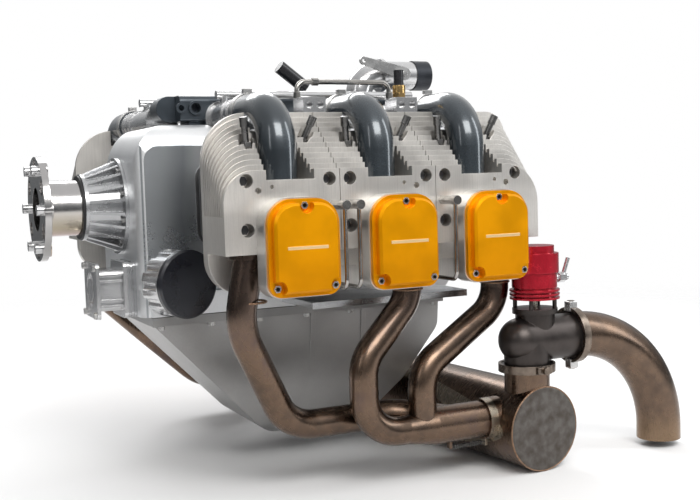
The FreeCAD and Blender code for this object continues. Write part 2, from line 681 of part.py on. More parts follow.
def propeller_shaft():
    """Hollow shaft with a bossed flange, lightened between its bolt bosses."""
    reach = FLANGE_BOLT_PCD / 2
    shapes = [rod(FLANGE_R, V(0, 0, 0), V(FLANGE_T, 0, 0)),
              taper(SHAFT_R + 3, SHAFT_R, V(FLANGE_T, 0, 0), V(FLANGE_T + 3, 0, 0)),
              rod(SHAFT_R, V(0, 0, 0), V(SHAFT_END_X, 0, 0))]
    cuts = [rod(SHAFT_BORE_R, V(0, 0, 0), V(SHAFT_END_X - SHAFT_R, 0, 0))]
    for angle in flange_angles():
        y, z = reach * math.cos(angle), reach * math.sin(angle)
        shapes.append(rod(FLANGE_BOSS_R, V(0, y, z), V(FLANGE_BOSS_T, y, z)))
        cuts.append(rod(BUSH_R, V(0, y, z), V(FLANGE_BOSS_T, y, z)))
        between = angle + math.pi / FLANGE_BOLTS
        y, z = (reach - 2) * math.cos(between), (reach - 2) * math.sin(between)
        cuts.append(rod(FLANGE_R - reach - 1, V(0, y, z), V(FLANGE_BOSS_T, y, z)))
    return fused(shapes).cut(Part.makeCompound(cuts))


def flange_bushes():
    """Drive bushes pressed through the flange and standing proud in front."""
    reach = FLANGE_BOLT_PCD / 2
    bushes = []
    for angle in flange_angles():
        y, z = reach * math.cos(angle), reach * math.sin(angle)
        bushes.append(ring(BUSH_R, BUSH_BORE_R, V(-BUSH_REACH, y, z), V(FLANGE_BOSS_T, y, z)))
    return bushes


def gear_outline(grow):
    return rectangle(GEAR_Y - GEAR_HALF - grow, GEAR_Y + GEAR_HALF + grow, GEAR_Z - GEAR_HALF - grow,
                     GEAR_Z + GEAR_HALF + grow, GEAR_FLANGE_T + 2, GEAR_FLANGE_T + 2)


def gear_corners():
    inset = GEAR_HALF - GEAR_FLANGE_T - 1
    return [(GEAR_Y + i * inset, GEAR_Z + j * inset) for i in (-1, 1) for j in (-1, 1)]


def gear_plates():
    """Stack of flat plates between the accessory housing and the crankcase."""
    plates = []
    for i in range(GEAR_PLATES):
        back = CASE_FRONT_X - GEAR_PLATE_T * i
        plates.append(prism(gear_outline(-0.8 * (i % 2)), on_yz(back), V(-GEAR_PLATE_T, 0, 0)))
    return plates


def gear_housing():
    """Ribbed square housing between a front flange and the plate stack."""
    front = CASE_FRONT_X - GEAR_LENGTH
    back = CASE_FRONT_X - GEAR_PLATE_T * GEAR_PLATES
    depth = back - front
    shapes = [prism(gear_outline(0), on_yz(front), V(GEAR_FLANGE_T, 0, 0)),
              prism(gear_outline(-2 * GEAR_FLANGE_T), on_yz(front), V(depth, 0, 0)),
              prism(gear_outline(0), on_yz(back), V(-GEAR_FLANGE_T, 0, 0))]
    for z in (-0.55, -0.35, 0.35, 0.55):
        mid = GEAR_Z + z * GEAR_HALF
        shapes.append(block(front, back, GEAR_Y - GEAR_HALF + 4, GEAR_Y + GEAR_HALF - 4,
                            mid - 1.5, mid + 1.5))
    centre = V(front, GEAR_Y, GEAR_Z)
    window = ring(GEAR_HALF * 0.62, GEAR_HALF * 0.42, centre, centre + V(3, 0, 0))
    return fused(shapes).cut(window)


def front_screws():
    """Hexagon heads round the nose base and on the accessory housing's corners."""
    screws = []
    seat = CASE_FRONT_X - NOSE_FLANGE_T
    reach = (NOSE_CORE_BASE_R + NOSE_BASE_R) / 2
    for i in range(0, NOSE_RIBS, 2):
        angle = 2 * math.pi * i / NOSE_RIBS
        y, z = reach * math.sin(angle), reach * math.cos(angle)
        screws.append(hexagon(7.0, V(seat, y, z), V(seat - 4, y, z)))
    front = CASE_FRONT_X - GEAR_LENGTH
    screws += [hexagon(8.0, V(front, y, z), V(front - 4, y, z)) for y, z in gear_corners()]
    return screws


def filter_collar():
    centre, axis = filter_axis()
    start = centre - axis * COLLAR_LENGTH
    side = axis.cross(V(0, 0, 1))
    collar = rod(COLLAR_R, start, centre)
    flutes = []
    for i in range(COLLAR_FLUTES):
        angle = 2 * math.pi * i / COLLAR_FLUTES
        offset = (side * math.cos(angle) + V(0, 0, 1) * math.sin(angle)) * (COLLAR_R + 3)
        flutes.append(rod(7, start + offset, centre - axis * 5 + offset))
    return collar.cut(Part.makeCompound(flutes))


def filter_cap():
    centre, axis = filter_axis()
    rim = centre + axis * (FILTER_CAP_T * 0.7)
    return fused([rod(FILTER_R, centre, rim),
                  taper(FILTER_R, FILTER_R - FILTER_CAP_T * 0.3, rim, centre + axis * FILTER_CAP_T)])


# ---------------------------------------------------------------- sump
def sump_bolt_places():
    inset = SUMP_BOLT_HEX
    span = SKIRT_REAR_X - SKIRT_FRONT_X - 3 * inset
    xs = [SKIRT_FRONT_X + 1.5 * inset + span * i / (SUMP_BOLTS - 1) for i in range(SUMP_BOLTS)]
    y = SUMP_TOP_HALF + 0.5 * SUMP_LAND
    return [(x, side * y) for x in xs for side in (-1, 1)]


def sump_gasket():
    return block(SKIRT_FRONT_X, SKIRT_REAR_X, -SKIRT_HALF_WIDTH, SKIRT_HALF_WIDTH,
                 CASE_BOTTOM - GASKET_T, CASE_BOTTOM)


def sump():
    """Tapered pan whose front and rear slope down to a flat floor, ribbed on both sides."""
    top = CASE_BOTTOM - GASKET_T
    low = top - SUMP_FLANGE_T
    deep = SUMP_BOTTOM - low
    length = SKIRT_REAR_X - SKIRT_FRONT_X
    flange = block(SKIRT_FRONT_X, SKIRT_REAR_X, -SKIRT_HALF_WIDTH, SKIRT_HALF_WIDTH, low, top)
    along = prism([(SKIRT_FRONT_X + 4, low, 0), (SKIRT_FRONT_X + length * 0.38, SUMP_BOTTOM, 60),
                   (SKIRT_FRONT_X + length * 0.70, SUMP_BOTTOM, 60),
                   (SKIRT_REAR_X - 60, low + deep * 0.65, 60), (SKIRT_REAR_X - 3, low + deep * 0.22, 25),
                   (SKIRT_REAR_X - 3, low, 0)],
                  on_xz(-SUMP_TOP_HALF), V(0, 2 * SUMP_TOP_HALF, 0))
    across = prism([(-SUMP_TOP_HALF, low, 0), (-SUMP_LOW_HALF, SUMP_BOTTOM, 20),
                    (SUMP_LOW_HALF, SUMP_BOTTOM, 20), (SUMP_TOP_HALF, low, 0)],
                   on_yz(SKIRT_FRONT_X), V(length, 0, 0))
    ribs = []
    for share in (0.30, 0.52, 0.70):
        x = SKIRT_FRONT_X + length * share
        wide = SUMP_TOP_HALF + 2.5
        narrow = SUMP_TOP_HALF + (SUMP_LOW_HALF - SUMP_TOP_HALF) * 0.5 + 1
        ribs.append(prism([(-wide, low, 0), (-narrow, low + deep * 0.5, 0), (narrow, low + deep * 0.5, 0),
                           (wide, low, 0)], on_yz(x), V(7, 0, 0)))
    return fused([flange, along.common(across)] + ribs)


def sump_bolts():
    seat = CASE_BOTTOM - GASKET_T - SUMP_FLANGE_T
    bolts = [hexagon(SUMP_BOLT_HEX, V(x, y, seat), V(x, y, seat - 5)) for x, y in sump_bolt_places()]
    drain = V(SKIRT_FRONT_X + (SKIRT_REAR_X - SKIRT_FRONT_X) * 0.54, 0, SUMP_BOTTOM)
    return bolts + [hexagon(2 * SUMP_BOLT_HEX, drain, drain - V(0, 0, SUMP_BOLT_HEX))]


# ---------------------------------------------------------------- exhaust
def muffler_axis(y):
    """X of the transverse muffler's axis, which is skewed by the bank stagger."""
    return MUFFLER_X - STAGGER * (y + MUFFLER_HALF) / (2 * MUFFLER_HALF)


def port_centre(index):
    return NEAR_X[index] + port_side(index) * EXHAUST_OFFSET


def header(points, bends):
    """Pipe that starts inside its flange, so that a slanted end stays under the head."""
    flange = rod(PIPE_FLANGE_R, points[0], points[0] - V(0, 0, PIPE_FLANGE_T))
    start = points[0] - V(0, 0, PIPE_FLANGE_T / 2)
    return fused([flange, bent_bar([start] + points[1:], bends, PIPE_R)])


def hook(x, reach):
    """Ear under a pipe that holds one end of a joint spring."""
    low = COLLECTOR_Z - reach - 9
    return block(x - 2, x + 2, -COLLECTOR_Y - 4, -COLLECTOR_Y + 4, low, COLLECTOR_Z - reach + 4)


def collector_pipe():
    """Middle header that widens into the bank's collector."""
    x = port_centre(1)
    turn_x = x - 76
    points = [V(x, -EXHAUST_Y, HEAD_BOTTOM), V(x, -EXHAUST_Y, HEAD_BOTTOM - 75),
              V(turn_x, -COLLECTOR_Y, COLLECTOR_Z + 98), V(turn_x, -COLLECTOR_Y, COLLECTOR_Z),
              V(turn_x + 60, -COLLECTOR_Y, COLLECTOR_Z)]
    wide = V(turn_x + 100, -COLLECTOR_Y, COLLECTOR_Z)
    return fused([header(points, [45, 48, 50]),
                  taper(PIPE_R, COLLECTOR_R, points[-1], wide),
                  rod(COLLECTOR_R, wide, V(COLLECTOR_END_X, -COLLECTOR_Y, COLLECTOR_Z)),
                  hook(COLLECTOR_END_X - 50, COLLECTOR_R)])


def front_header(bank):
    """Front header: down, back inside the collector, then out into it. The far one dips in by the sump."""
    x = port_centre(0)
    inner_y = -COLLECTOR_Y + 2.4 * PIPE_R
    run_z = COLLECTOR_Z + 14
    port = V(x, -EXHAUST_Y, HEAD_BOTTOM)
    end = V(COLLECTOR_END_X - 25, -COLLECTOR_Y, COLLECTOR_Z)
    if bank == "near":
        return header([port, V(x - 16, -EXHAUST_Y, HEAD_BOTTOM - 92), V(x + 56, inner_y, run_z),
                       V(COLLECTOR_END_X - 110, inner_y, run_z), end], [85, 60, 80])
    return header([port, V(x - 9, -EXHAUST_Y + 2, HEAD_BOTTOM - 87), V(x + 53, inner_y + 61, run_z + 78),
                   V(x + 136, inner_y + 74, run_z), V(COLLECTOR_END_X - 140, inner_y, run_z), end],
                  [60, 80, 40, 50])


def rear_header():
    x = port_centre(2)
    low_x = x - 127
    return header([V(x, -EXHAUST_Y, HEAD_BOTTOM), V(x, -EXHAUST_Y, HEAD_BOTTOM - 92),
                   V(low_x, -COLLECTOR_Y, COLLECTOR_Z + 78), V(low_x, -COLLECTOR_Y, COLLECTOR_Z)], [48, 48])


def muffler_ends():
    return [V(muffler_axis(y), y, MUFFLER_Z) for y in (-MUFFLER_HALF, MUFFLER_HALF)]


def muffler():
    """Transverse drum with end caps, an inlet sleeve for each collector and a riser to the valve."""
    near, far = muffler_ends()
    outer = [rod(MUFFLER_R, near, far)]
    inner = [rod(MUFFLER_R - MUFFLER_WALL, near, far)]
    for sign, end_x in ((-1, COLLECTOR_END_X), (1, COLLECTOR_END_X - STAGGER)):
        y = sign * COLLECTOR_Y
        mouth = V(end_x, y, COLLECTOR_Z)
        centre = V(muffler_axis(y), y, COLLECTOR_Z)
        outer.append(rod(COLLECTOR_R + MUFFLER_WALL, mouth, centre))
        inner.append(rod(COLLECTOR_R, mouth, centre))
        outer.append(moved(hook(end_x + 6, COLLECTOR_R + MUFFLER_WALL), 0, y + COLLECTOR_Y, 0))
    top = V(RISER_X, VALVE_Y, BAND_Z)
    drum = V(RISER_X, VALVE_Y, MUFFLER_Z)
    outer += [rod(NECK_R, drum, top), rod(LIP_R, top - V(0, 0, LIP_T), top)]
    inner.append(rod(NECK_R - MUFFLER_WALL, drum, top))
    axis = (far - near).normalize()
    caps = [rod(MUFFLER_R - MUFFLER_WALL / 2, start, start + step)
            for start, step in ((near + axis * 2, axis * 3), (far - axis * 2, -axis * 3))]
    return fused([fused(outer).cut(fused(inner))] + caps)


def springs():
    z = COLLECTOR_Z - COLLECTOR_R - MUFFLER_WALL - 5
    near = rod(3.5, V(COLLECTOR_END_X - 48, -COLLECTOR_Y, z), V(COLLECTOR_END_X + 4, -COLLECTOR_Y, z))
    return [near, far_side(near)]


def band(centre, axis, across):
    """V-band clamp: a ring with two bolt lugs."""
    start = centre - axis * BAND_WIDTH / 2
    shapes = [rod(BAND_R, start, start + axis * BAND_WIDTH)]
    for sign in (-1, 1):
        lug = centre + across * (sign * BAND_R)
        shapes.append(rod(BAND_WIDTH * 0.45, lug - across * sign * 4, lug + across * sign * 9))
    return fused(shapes).cut(rod(LIP_R, start, start + axis * BAND_WIDTH))


def valve_body():
    """Hollow body: inlet neck and seat below, outlet to the rear, guide and studs above."""
    centre = V(VALVE_X, VALVE_Y, VALVE_Z)
    inlet = V(RISER_X, VALVE_Y, BAND_Z)
    outlet = V(OUTLET_X, VALVE_Y, VALVE_Z)
    dome = V(VALVE_NOSE_X + VALVE_R, VALVE_Y, VALVE_Z)
    top = valve_top()
    shapes = [rod(VALVE_R, dome, outlet), Part.makeSphere(VALVE_R, dome),
              rod(NECK_R, inlet, V(RISER_X, VALVE_Y, VALVE_Z)), rod(LIP_R, inlet, inlet + V(0, 0, LIP_T)),
              rod(LIP_R, outlet - V(LIP_T, 0, 0), outlet),
              rod(VALVE_BORE_R + 2, centre, top), rod(VALVE_R, top - V(0, 0, 7), top)]
    for x, y in stud_places():
        shapes.append(rod(3, V(x, y, top.z - 7), V(x, y, ACTUATOR_BASE)))
    seat = valve_seat()
    cuts = [rod(INLET_BORE_R, inlet, V(RISER_X, VALVE_Y, seat.z - SEAT_DEPTH)),
            rod(SEAT_R, seat - V(0, 0, SEAT_DEPTH), seat),
            rod(VALVE_BORE_R, seat, V(VALVE_X, VALVE_Y, VALVE_Z + SEAT_R)),
            rod(VALVE_BORE_R, centre, outlet), rod(STEM_R + STEM_FIT, centre, top)]
    return fused(shapes).cut(fused(cuts))


def valve_seat():
    return V(VALVE_X, VALVE_Y, VALVE_Z - SEAT_R)


def valve_top():
    return V(VALVE_X, VALVE_Y, VALVE_Z + VALVE_R + 12)


def stud_places():
    reach = 0.62 * VALVE_R
    return [(VALVE_X + i * reach, VALVE_Y + j * reach) for i in (-1, 1) for j in (-1, 1)]


def valve_stem():
    seat = valve_seat()
    top = V(VALVE_X, VALVE_Y, ACTUATOR_BASE + 30)
    return fused([rod(POPPET_R, seat, seat + V(0, 0, POPPET_T)),
                  taper(POPPET_R * 0.5, STEM_R, seat + V(0, 0, POPPET_T), seat + V(0, 0, 2 * POPPET_T)),
                  rod(STEM_R, seat, top), rod(2.5 * STEM_R, top - V(0, 0, 4), top)])


def actuator():
    """Stepped canister with a finned base; the stem works in its hollow middle."""
    def at(z):
        return V(VALVE_X, VALVE_Y, z)
    base = ACTUATOR_BASE
    tall = ACTUATOR_TOP - base
    core = base + tall * 0.22
    step = base + tall * 0.50
    cap = ACTUATOR_TOP - tall * 0.14
    shapes = [rod(ACTUATOR_R * 0.86, at(base), at(core)), rod(ACTUATOR_R * 0.92, at(core), at(step)),
              rod(ACTUATOR_R, at(step), at(cap)), rod(ACTUATOR_R * 0.82, at(cap), at(ACTUATOR_TOP))]
    for i in range(3):
        z = base + tall * 0.22 * i / 3
        shapes.append(rod(ACTUATOR_R * 1.02, at(z), at(z + tall * 0.035)))
    cavity = [rod(STEM_R + STEM_FIT, at(base), at(core)),
              rod(3 * STEM_R, at(core), at(core + 30 + VALVE_LIFT))]
    return fused(shapes).cut(fused(cavity))


def actuator_fitting():
    """Banjo union with its hose barb on the canister's rear."""
    z = ACTUATOR_BASE + (ACTUATOR_TOP - ACTUATOR_BASE) * 0.36
    wall = VALVE_X + ACTUATOR_R * 0.80
    reach = VALVE_X + ACTUATOR_R + 22
    bar = rod(4.5, V(wall, VALVE_Y, z), V(reach, VALVE_Y, z))
    hexes = hexagon(13, V(reach - 16, VALVE_Y, z), V(reach - 5, VALVE_Y, z))
    barb = rod(3, V(reach - 8, VALVE_Y, z), V(reach + 2, VALVE_Y, z + 26))
    canister = rod(ACTUATOR_R * 0.92, V(VALVE_X, VALVE_Y, z - 20), V(VALVE_X, VALVE_Y, z + 20))
    return fused([bar, hexes, barb]).cut(canister)


def dump_pipe():
    """Open quarter bend that turns the outlet down."""
    start = V(OUTLET_X, VALVE_Y, VALVE_Z)
    corner = V(OUTLET_X + 8 + DUMP_BEND, VALVE_Y, VALVE_Z)
    end = V(corner.x, VALVE_Y, DUMP_END_Z)
    outer = bent_bar([start, corner, end], [DUMP_BEND], DUMP_R)
    lip = rod(LIP_R, start, start + V(LIP_T, 0, 0))
    inner = bent_bar([start, corner, end], [DUMP_BEND], DUMP_R - DUMP_WALL)
    return fused([outer, lip]).cut(inner)


# ---------------------------------------------------------------- top of the engine
def plenum():
    """Long rounded log on three feet with a plain ring and a bossed port at its front."""
    length = PLENUM_REAR_X - PLENUM_FRONT_X
    half = PLENUM_HALF_WIDTH
    wall = PLENUM_Y - half
    log = prism(rectangle(wall, PLENUM_Y + half, PLENUM_BOTTOM, PLENUM_TOP, 4, 9),
                on_yz(PLENUM_FRONT_X), V(length, 0, 0))
    shapes = [log]
    for share in (0.08, 0.5, 0.92):
        x = PLENUM_FRONT_X + length * share
        shapes.append(block(x - FOOT_HALF, x + FOOT_HALF, PLENUM_Y - half * 0.7, PLENUM_Y + half * 0.7,
                            CASE_TOP, PLENUM_BOTTOM))
    middle = (PLENUM_BOTTOM + PLENUM_TOP) / 2
    port_x = NEAR_X[0] - STUB_FLANGE_R - 13
    ports = []
    nose = V(NEAR_X[0] - STAGGER, PLENUM_Y + half, middle)
    deep = V(0, -1.2 * half, 0)
    shapes.append(rod(PLENUM_TOP - middle, nose, nose + deep))
    shapes.append(block(nose.x, PLENUM_FRONT_X, nose.y + deep.y, nose.y, PLENUM_BOTTOM, PLENUM_TOP))
    for x, radius, bore in ((port_x, 10, 7), (port_x - 21, 7.5, 4)):
        shapes.append(rod(radius, V(x, wall, middle), V(x, wall - 4, middle)))
        ports.append(rod(bore, V(x, wall + 12, middle), V(x, wall - 4, middle)))
    return fused(shapes).cut(Part.makeCompound(ports))


def throttle_elbow():
    foot_x = THROTTLE_FRONT_X - (THROTTLE_Z - PLENUM_TOP)
    points = [V(foot_x, PLENUM_Y, PLENUM_TOP), V(foot_x, PLENUM_Y, THROTTLE_Z),
              V(THROTTLE_FRONT_X, PLENUM_Y, THROTTLE_Z)]
    bend = THROTTLE_Z - PLENUM_TOP - 4
    return bent_bar(points, [bend], THROTTLE_BORE_R + 3).cut(bent_bar(points, [bend], THROTTLE_BORE_R))


def spindle_x():
    return THROTTLE_FRONT_X + THROTTLE_LENGTH / 2


def throttle_body():
    front = V(THROTTLE_FRONT_X, PLENUM_Y, THROTTLE_Z)
    back = front + V(THROTTLE_LENGTH, 0, 0)
    axis = V(spindle_x(), PLENUM_Y, THROTTLE_Z)
    side = V(0, THROTTLE_R + 8, 0)
    outer = fused([rod(THROTTLE_R, front, back), rod(THROTTLE_R + 4, front, front + V(6, 0, 0)),
                   rod(2.2 * SPINDLE_R, axis - side, axis + side)])
    spindle_hole = rod(SPINDLE_R + SPINDLE_FIT, axis - side, axis + side)
    return outer.cut(rod(THROTTLE_BORE_R, front, back)).cut(spindle_hole)


def inlet_ring():
    start = V(THROTTLE_FRONT_X + THROTTLE_LENGTH, PLENUM_Y, THROTTLE_Z)
    return ring(INLET_RING_R, THROTTLE_BORE_R, start, start + V(INLET_RING_LENGTH, 0, 0))


def throttle_spindle():
    axis = V(spindle_x(), PLENUM_Y, THROTTLE_Z)
    side = V(0, THROTTLE_R + 8, 0)
    radius = THROTTLE_BORE_R - DISC_GAP
    disc = rod(radius, axis - V(DISC_T / 2, 0, 0), axis + V(DISC_T / 2, 0, 0))
    return fused([rod(SPINDLE_R, axis - side - V(0, LEVER_T + 2, 0), axis + side), disc])


def throttle_lever():
    """Bent arm on the near end of the spindle with a cable eye at its tip."""
    angle = math.radians(LEVER_ANGLE)
    arm = V(math.cos(angle), 0, math.sin(angle))
    hub = V(spindle_x(), PLENUM_Y - THROTTLE_R - 8.5, THROTTLE_Z)
    tip = hub + arm * LEVER_LENGTH
    thick = V(0, -LEVER_T, 0)
    wide, narrow = 10.0, 6.0
    normal = V(-arm.z, 0, arm.x)
    corners = [hub + normal * wide, tip + normal * narrow, tip - normal * narrow, hub - normal * wide]
    web = Part.Face(Part.makePolygon(corners + corners[:1])).extrude(thick)
    shape = fused([web, rod(wide, hub, hub + thick), rod(narrow, tip, tip + thick)])
    return shape.cut(rod(SPINDLE_R, hub, hub + thick)).cut(rod(2.6, tip, tip + thick))


def fuel_block_x(index):
    return NEAR_X[index] + PITCH / 2 + BLOCK_SHIFT


def fuel_blocks():
    """Two-port blocks that stand on the inner head plates behind the seams."""
    plate = HEAD_DEPTH / HEAD_STEPS
    front = -HEAD_INNER_Y - plate
    shapes = []
    for index in (0, 1):
        x = fuel_block_x(index)
        body = block(x - BLOCK_WIDTH / 2, x + BLOCK_WIDTH / 2, front, front + BLOCK_DEPTH,
                     HEAD_TOP_INNER, HEAD_TOP_INNER + BLOCK_HEIGHT)
        middle = HEAD_TOP_INNER + BLOCK_HEIGHT / 2
        ports = [rod(BLOCK_HEIGHT * 0.24, V(x + side * BLOCK_WIDTH / 4, front, middle),
                     V(x + side * BLOCK_WIDTH / 4, front + 8, middle)) for side in (-1, 1)]
        shapes.append(body.cut(Part.makeCompound(ports)))
    return shapes


def block_line():
    """Y of the pieces that stand on the back of the fuel blocks."""
    return -HEAD_INNER_Y - HEAD_DEPTH / HEAD_STEPS + BLOCK_DEPTH * 0.82


def crossover_pipe():
    low = HEAD_TOP_INNER + BLOCK_HEIGHT
    xs = [fuel_block_x(index) - BLOCK_WIDTH * 0.40 for index in (0, 1)]
    y = block_line()
    points = [V(xs[0], y, low), V(xs[0], y, CROSSOVER_Z), V(xs[1], y, CROSSOVER_Z), V(xs[1], y, low)]
    nut = 2.5 * CROSSOVER_R
    union = V(xs[0] + 5 * nut / 2, y, CROSSOVER_Z)
    end_nuts = [hexagon(nut, point, point + V(0, 0, END_NUT_HEIGHT)) for point in (points[0], points[3])]
    return fused([bent_bar(points, [12, 12], CROSSOVER_R),
                  *end_nuts, hexagon(nut, union, union + V(nut, 0, 0))])


def sensors():
    """Pressure sender on the rear block, and a solenoid that leans on the plenum."""
    low = HEAD_TOP_INNER + BLOCK_HEIGHT
    x = fuel_block_x(1) + 3
    y = block_line()
    seat = V(x, y, low)
    nut_top = seat + V(0, 0, SENDER_NUT_HEIGHT)
    shoulder = seat + V(0, 0, SENDER_HEIGHT)
    brass = fused([hexagon(SENDER_NUT, seat, nut_top), rod(SENDER_R, nut_top, shoulder)])
    cap = rod(SENDER_CAP_R, shoulder, shoulder + V(0, 0, SENDER_CAP_HEIGHT))
    foot = V(NEAR_X[1], PLENUM_Y, PLENUM_TOP)
    elbow = foot + V(0, 0, 2 * SOLENOID_R)
    lean = V(-0.8, 0, 0.6)
    solenoid = fused([rod(0.8 * SOLENOID_R, foot, elbow),
                      rod(SOLENOID_R, elbow - lean * SOLENOID_R, elbow + lean * SOLENOID_LENGTH)])
    return [brass, cap, solenoid]


def build():
    os.makedirs("parts", exist_ok=True)
    walls = (PLENUM_Y - PLENUM_HALF_WIDTH, -PLENUM_Y - PLENUM_HALF_WIDTH)
    banks = (("near", lambda shape: shape, walls[0]), ("far", far_side, walls[1]))
    barrels, boxes, tubes, bolts, screws, pipes, plugs, clamps, stubs = [], [], [], [], [], [], [], [], []
    for bank, place, wall in banks:
        for index, name in enumerate(CYLINDERS):
            ends = (index == 0, index == len(CYLINDERS) - 1)
            side = port_side(index)

            def at(shape):
                return place(moved(shape, NEAR_X[index]))
            write(f"head_{bank}_{name}", [at(head(ends, side))])
            write(f"rocker_cover_{bank}_{name}", [at(rocker_cover())])
            barrels.append(at(barrel()))
            boxes.append(at(rocker_box()))
            tubes.append(at(intake_tube()))
            stubs.append(at(intake_stub(wall)))
            clamps.append(at(hose_clamp()))
            pipes.append(at(oil_pipe(side)))
            bolts += [at(bolt) for bolt in head_bolts()]
            screws += [at(screw) for screw in cover_screws()]
            plugs += [at(spark_plug(lean)) for lean in (-1, 1)]
        collector = collector_pipe()
        rear = rear_header().cut(collector)
        write(f"exhaust_{bank}_middle", [place(collector)])
        write(f"exhaust_{bank}_rear", [place(rear)])
        write(f"exhaust_{bank}_front", [place(front_header(bank).cut(collector).cut(rear))])
    write("cylinders", barrels)
    write("rocker_boxes", boxes)
    write("intake_tubes", tubes)
    write("head_bolts", bolts)
    write("cover_screws", screws)
    write("oil_pipes", pipes)
    write("spark_plugs", plugs)
    write("hose_clamps", clamps)
    write("intake_stubs", stubs)
    write("fuel_rails", [fuel_rail(), far_side(fuel_rail())])
    write("crankcase", [crankcase()])
    write("ledges", ledges())
    write("rear_cover", [rear_cover()])
    write("nose_case", [nose_case()])
    write("shaft_seal", [shaft_seal()])
    write("front_screws", front_screws())
    write("gear_housing", [gear_housing()])
    write("gear_plates", gear_plates())
    write("filter_collar", [filter_collar()])
    write("filter_cap", [filter_cap()])
    write("sump_gasket", [sump_gasket()])
    write("sump", [sump()])
    write("sump_bolts", sump_bolts())
    write("muffler", [muffler()])
    write("exhaust_springs", springs())
    write("v_bands", [band(V(RISER_X, VALVE_Y, BAND_Z), V(0, 0, 1), V(0, 1, 0)),
                      band(V(OUTLET_X, VALVE_Y, VALVE_Z), V(1, 0, 0), V(0, 0, 1))])
    write("valve_body", [valve_body()])
    write("valve_stem", [valve_stem()])
    write("actuator", [actuator()])
    write("actuator_fitting", [actuator_fitting()])
    write("dump_pipe", [dump_pipe()])
    write("plenum", [plenum()])
    write("throttle_elbow", [throttle_elbow()])
    write("throttle_body", [throttle_body()])
    write("inlet_ring", [inlet_ring()])
    write("throttle_spindle", [throttle_spindle()])
    write("throttle_lever", [throttle_lever()])
    write("fuel_blocks", fuel_blocks())
    write("crossover_pipe", [crossover_pipe()])
    write("sensors", sensors())
    write("propeller_shaft", [propeller_shaft()])
    write("flange_bushes", flange_bushes())


build()
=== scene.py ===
# %% [markdown]
# # Dressing a flat six-cylinder aircraft engine
# The engine arrives as packed metal parts, each at its real size and place. This lesson gives every part
# its finish, swaps a few plain solids for finer surfaces, and lights the whole as in a studio.
# All lengths are metres. +X runs to the rear of the engine, +Z is up, and the near cylinders lie on -Y.

# %% Load the engine
import math

import bpy
import numpy as np
from mathutils import Matrix, Vector


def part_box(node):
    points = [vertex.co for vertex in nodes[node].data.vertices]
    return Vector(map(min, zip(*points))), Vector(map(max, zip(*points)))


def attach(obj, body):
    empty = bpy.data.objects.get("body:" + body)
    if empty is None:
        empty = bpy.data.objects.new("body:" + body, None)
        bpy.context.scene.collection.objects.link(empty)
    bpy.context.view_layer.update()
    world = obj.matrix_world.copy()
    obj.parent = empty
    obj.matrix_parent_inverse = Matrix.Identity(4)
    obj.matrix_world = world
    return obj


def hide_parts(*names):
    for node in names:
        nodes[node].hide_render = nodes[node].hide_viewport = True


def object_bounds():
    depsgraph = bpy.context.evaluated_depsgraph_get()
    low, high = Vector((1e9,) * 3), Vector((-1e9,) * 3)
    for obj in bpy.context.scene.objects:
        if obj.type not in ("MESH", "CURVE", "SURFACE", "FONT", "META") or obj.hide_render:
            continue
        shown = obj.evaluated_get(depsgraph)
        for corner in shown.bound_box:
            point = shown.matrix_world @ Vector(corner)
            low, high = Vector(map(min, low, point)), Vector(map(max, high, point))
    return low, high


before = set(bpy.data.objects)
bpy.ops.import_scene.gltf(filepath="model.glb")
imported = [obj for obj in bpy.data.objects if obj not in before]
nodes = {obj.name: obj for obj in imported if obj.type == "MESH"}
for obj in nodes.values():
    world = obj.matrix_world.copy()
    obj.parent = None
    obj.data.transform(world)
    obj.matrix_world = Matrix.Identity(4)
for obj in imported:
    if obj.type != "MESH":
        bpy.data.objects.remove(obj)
cad_low, cad_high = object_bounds()
print("engine box", [round(v, 3) for v in cad_low], [round(v, 3) for v in cad_high])

# %% [markdown]
# ## The camera
# A view from the front left, a little above the crankshaft, keeps the covers large and shows the propeller
# flange from the side. Building the rotation from its three axes, right, up and back, is easier to read
# than three angles, because each column of the matrix is one direction in the room.

# %% Camera
EYE = Vector((-0.2296, -1.4843, 0.0350))
YAW = math.radians(25.42)
PITCH = math.radians(4.15)
ROLL = math.radians(-1.79)
LENS = 53.75

ahead = Vector((math.sin(YAW) * math.cos(PITCH), math.cos(YAW) * math.cos(PITCH), -math.sin(PITCH)))
level = Vector((math.cos(YAW), -math.sin(YAW), 0))
rise = level.cross(ahead)
across = level * math.cos(ROLL) + rise * math.sin(ROLL)
above = rise * math.cos(ROLL) - level * math.sin(ROLL)
camera = bpy.data.objects.new("camera", bpy.data.cameras.new("camera"))
bpy.context.scene.collection.objects.link(camera)
turn = Matrix((across, above, -ahead)).transposed()
camera.matrix_world = Matrix.Translation(EYE) @ turn.to_4x4()
camera.data.lens = LENS
camera.data.sensor_width = 36.0
camera.data.clip_end = 30.0
bpy.context.scene.camera = camera
print("camera at", tuple(round(v, 3) for v in EYE))

# %% [markdown]
# ## Arithmetic on shader sockets
# A finish is mostly sums: so much dust here, so much polish there. Written out, each sum takes a node and
# two or three links. Wrapping a socket in a small class lets the sums be written as ordinary expressions,
# where each operator adds its own Math node, and the code can be read like the formula.

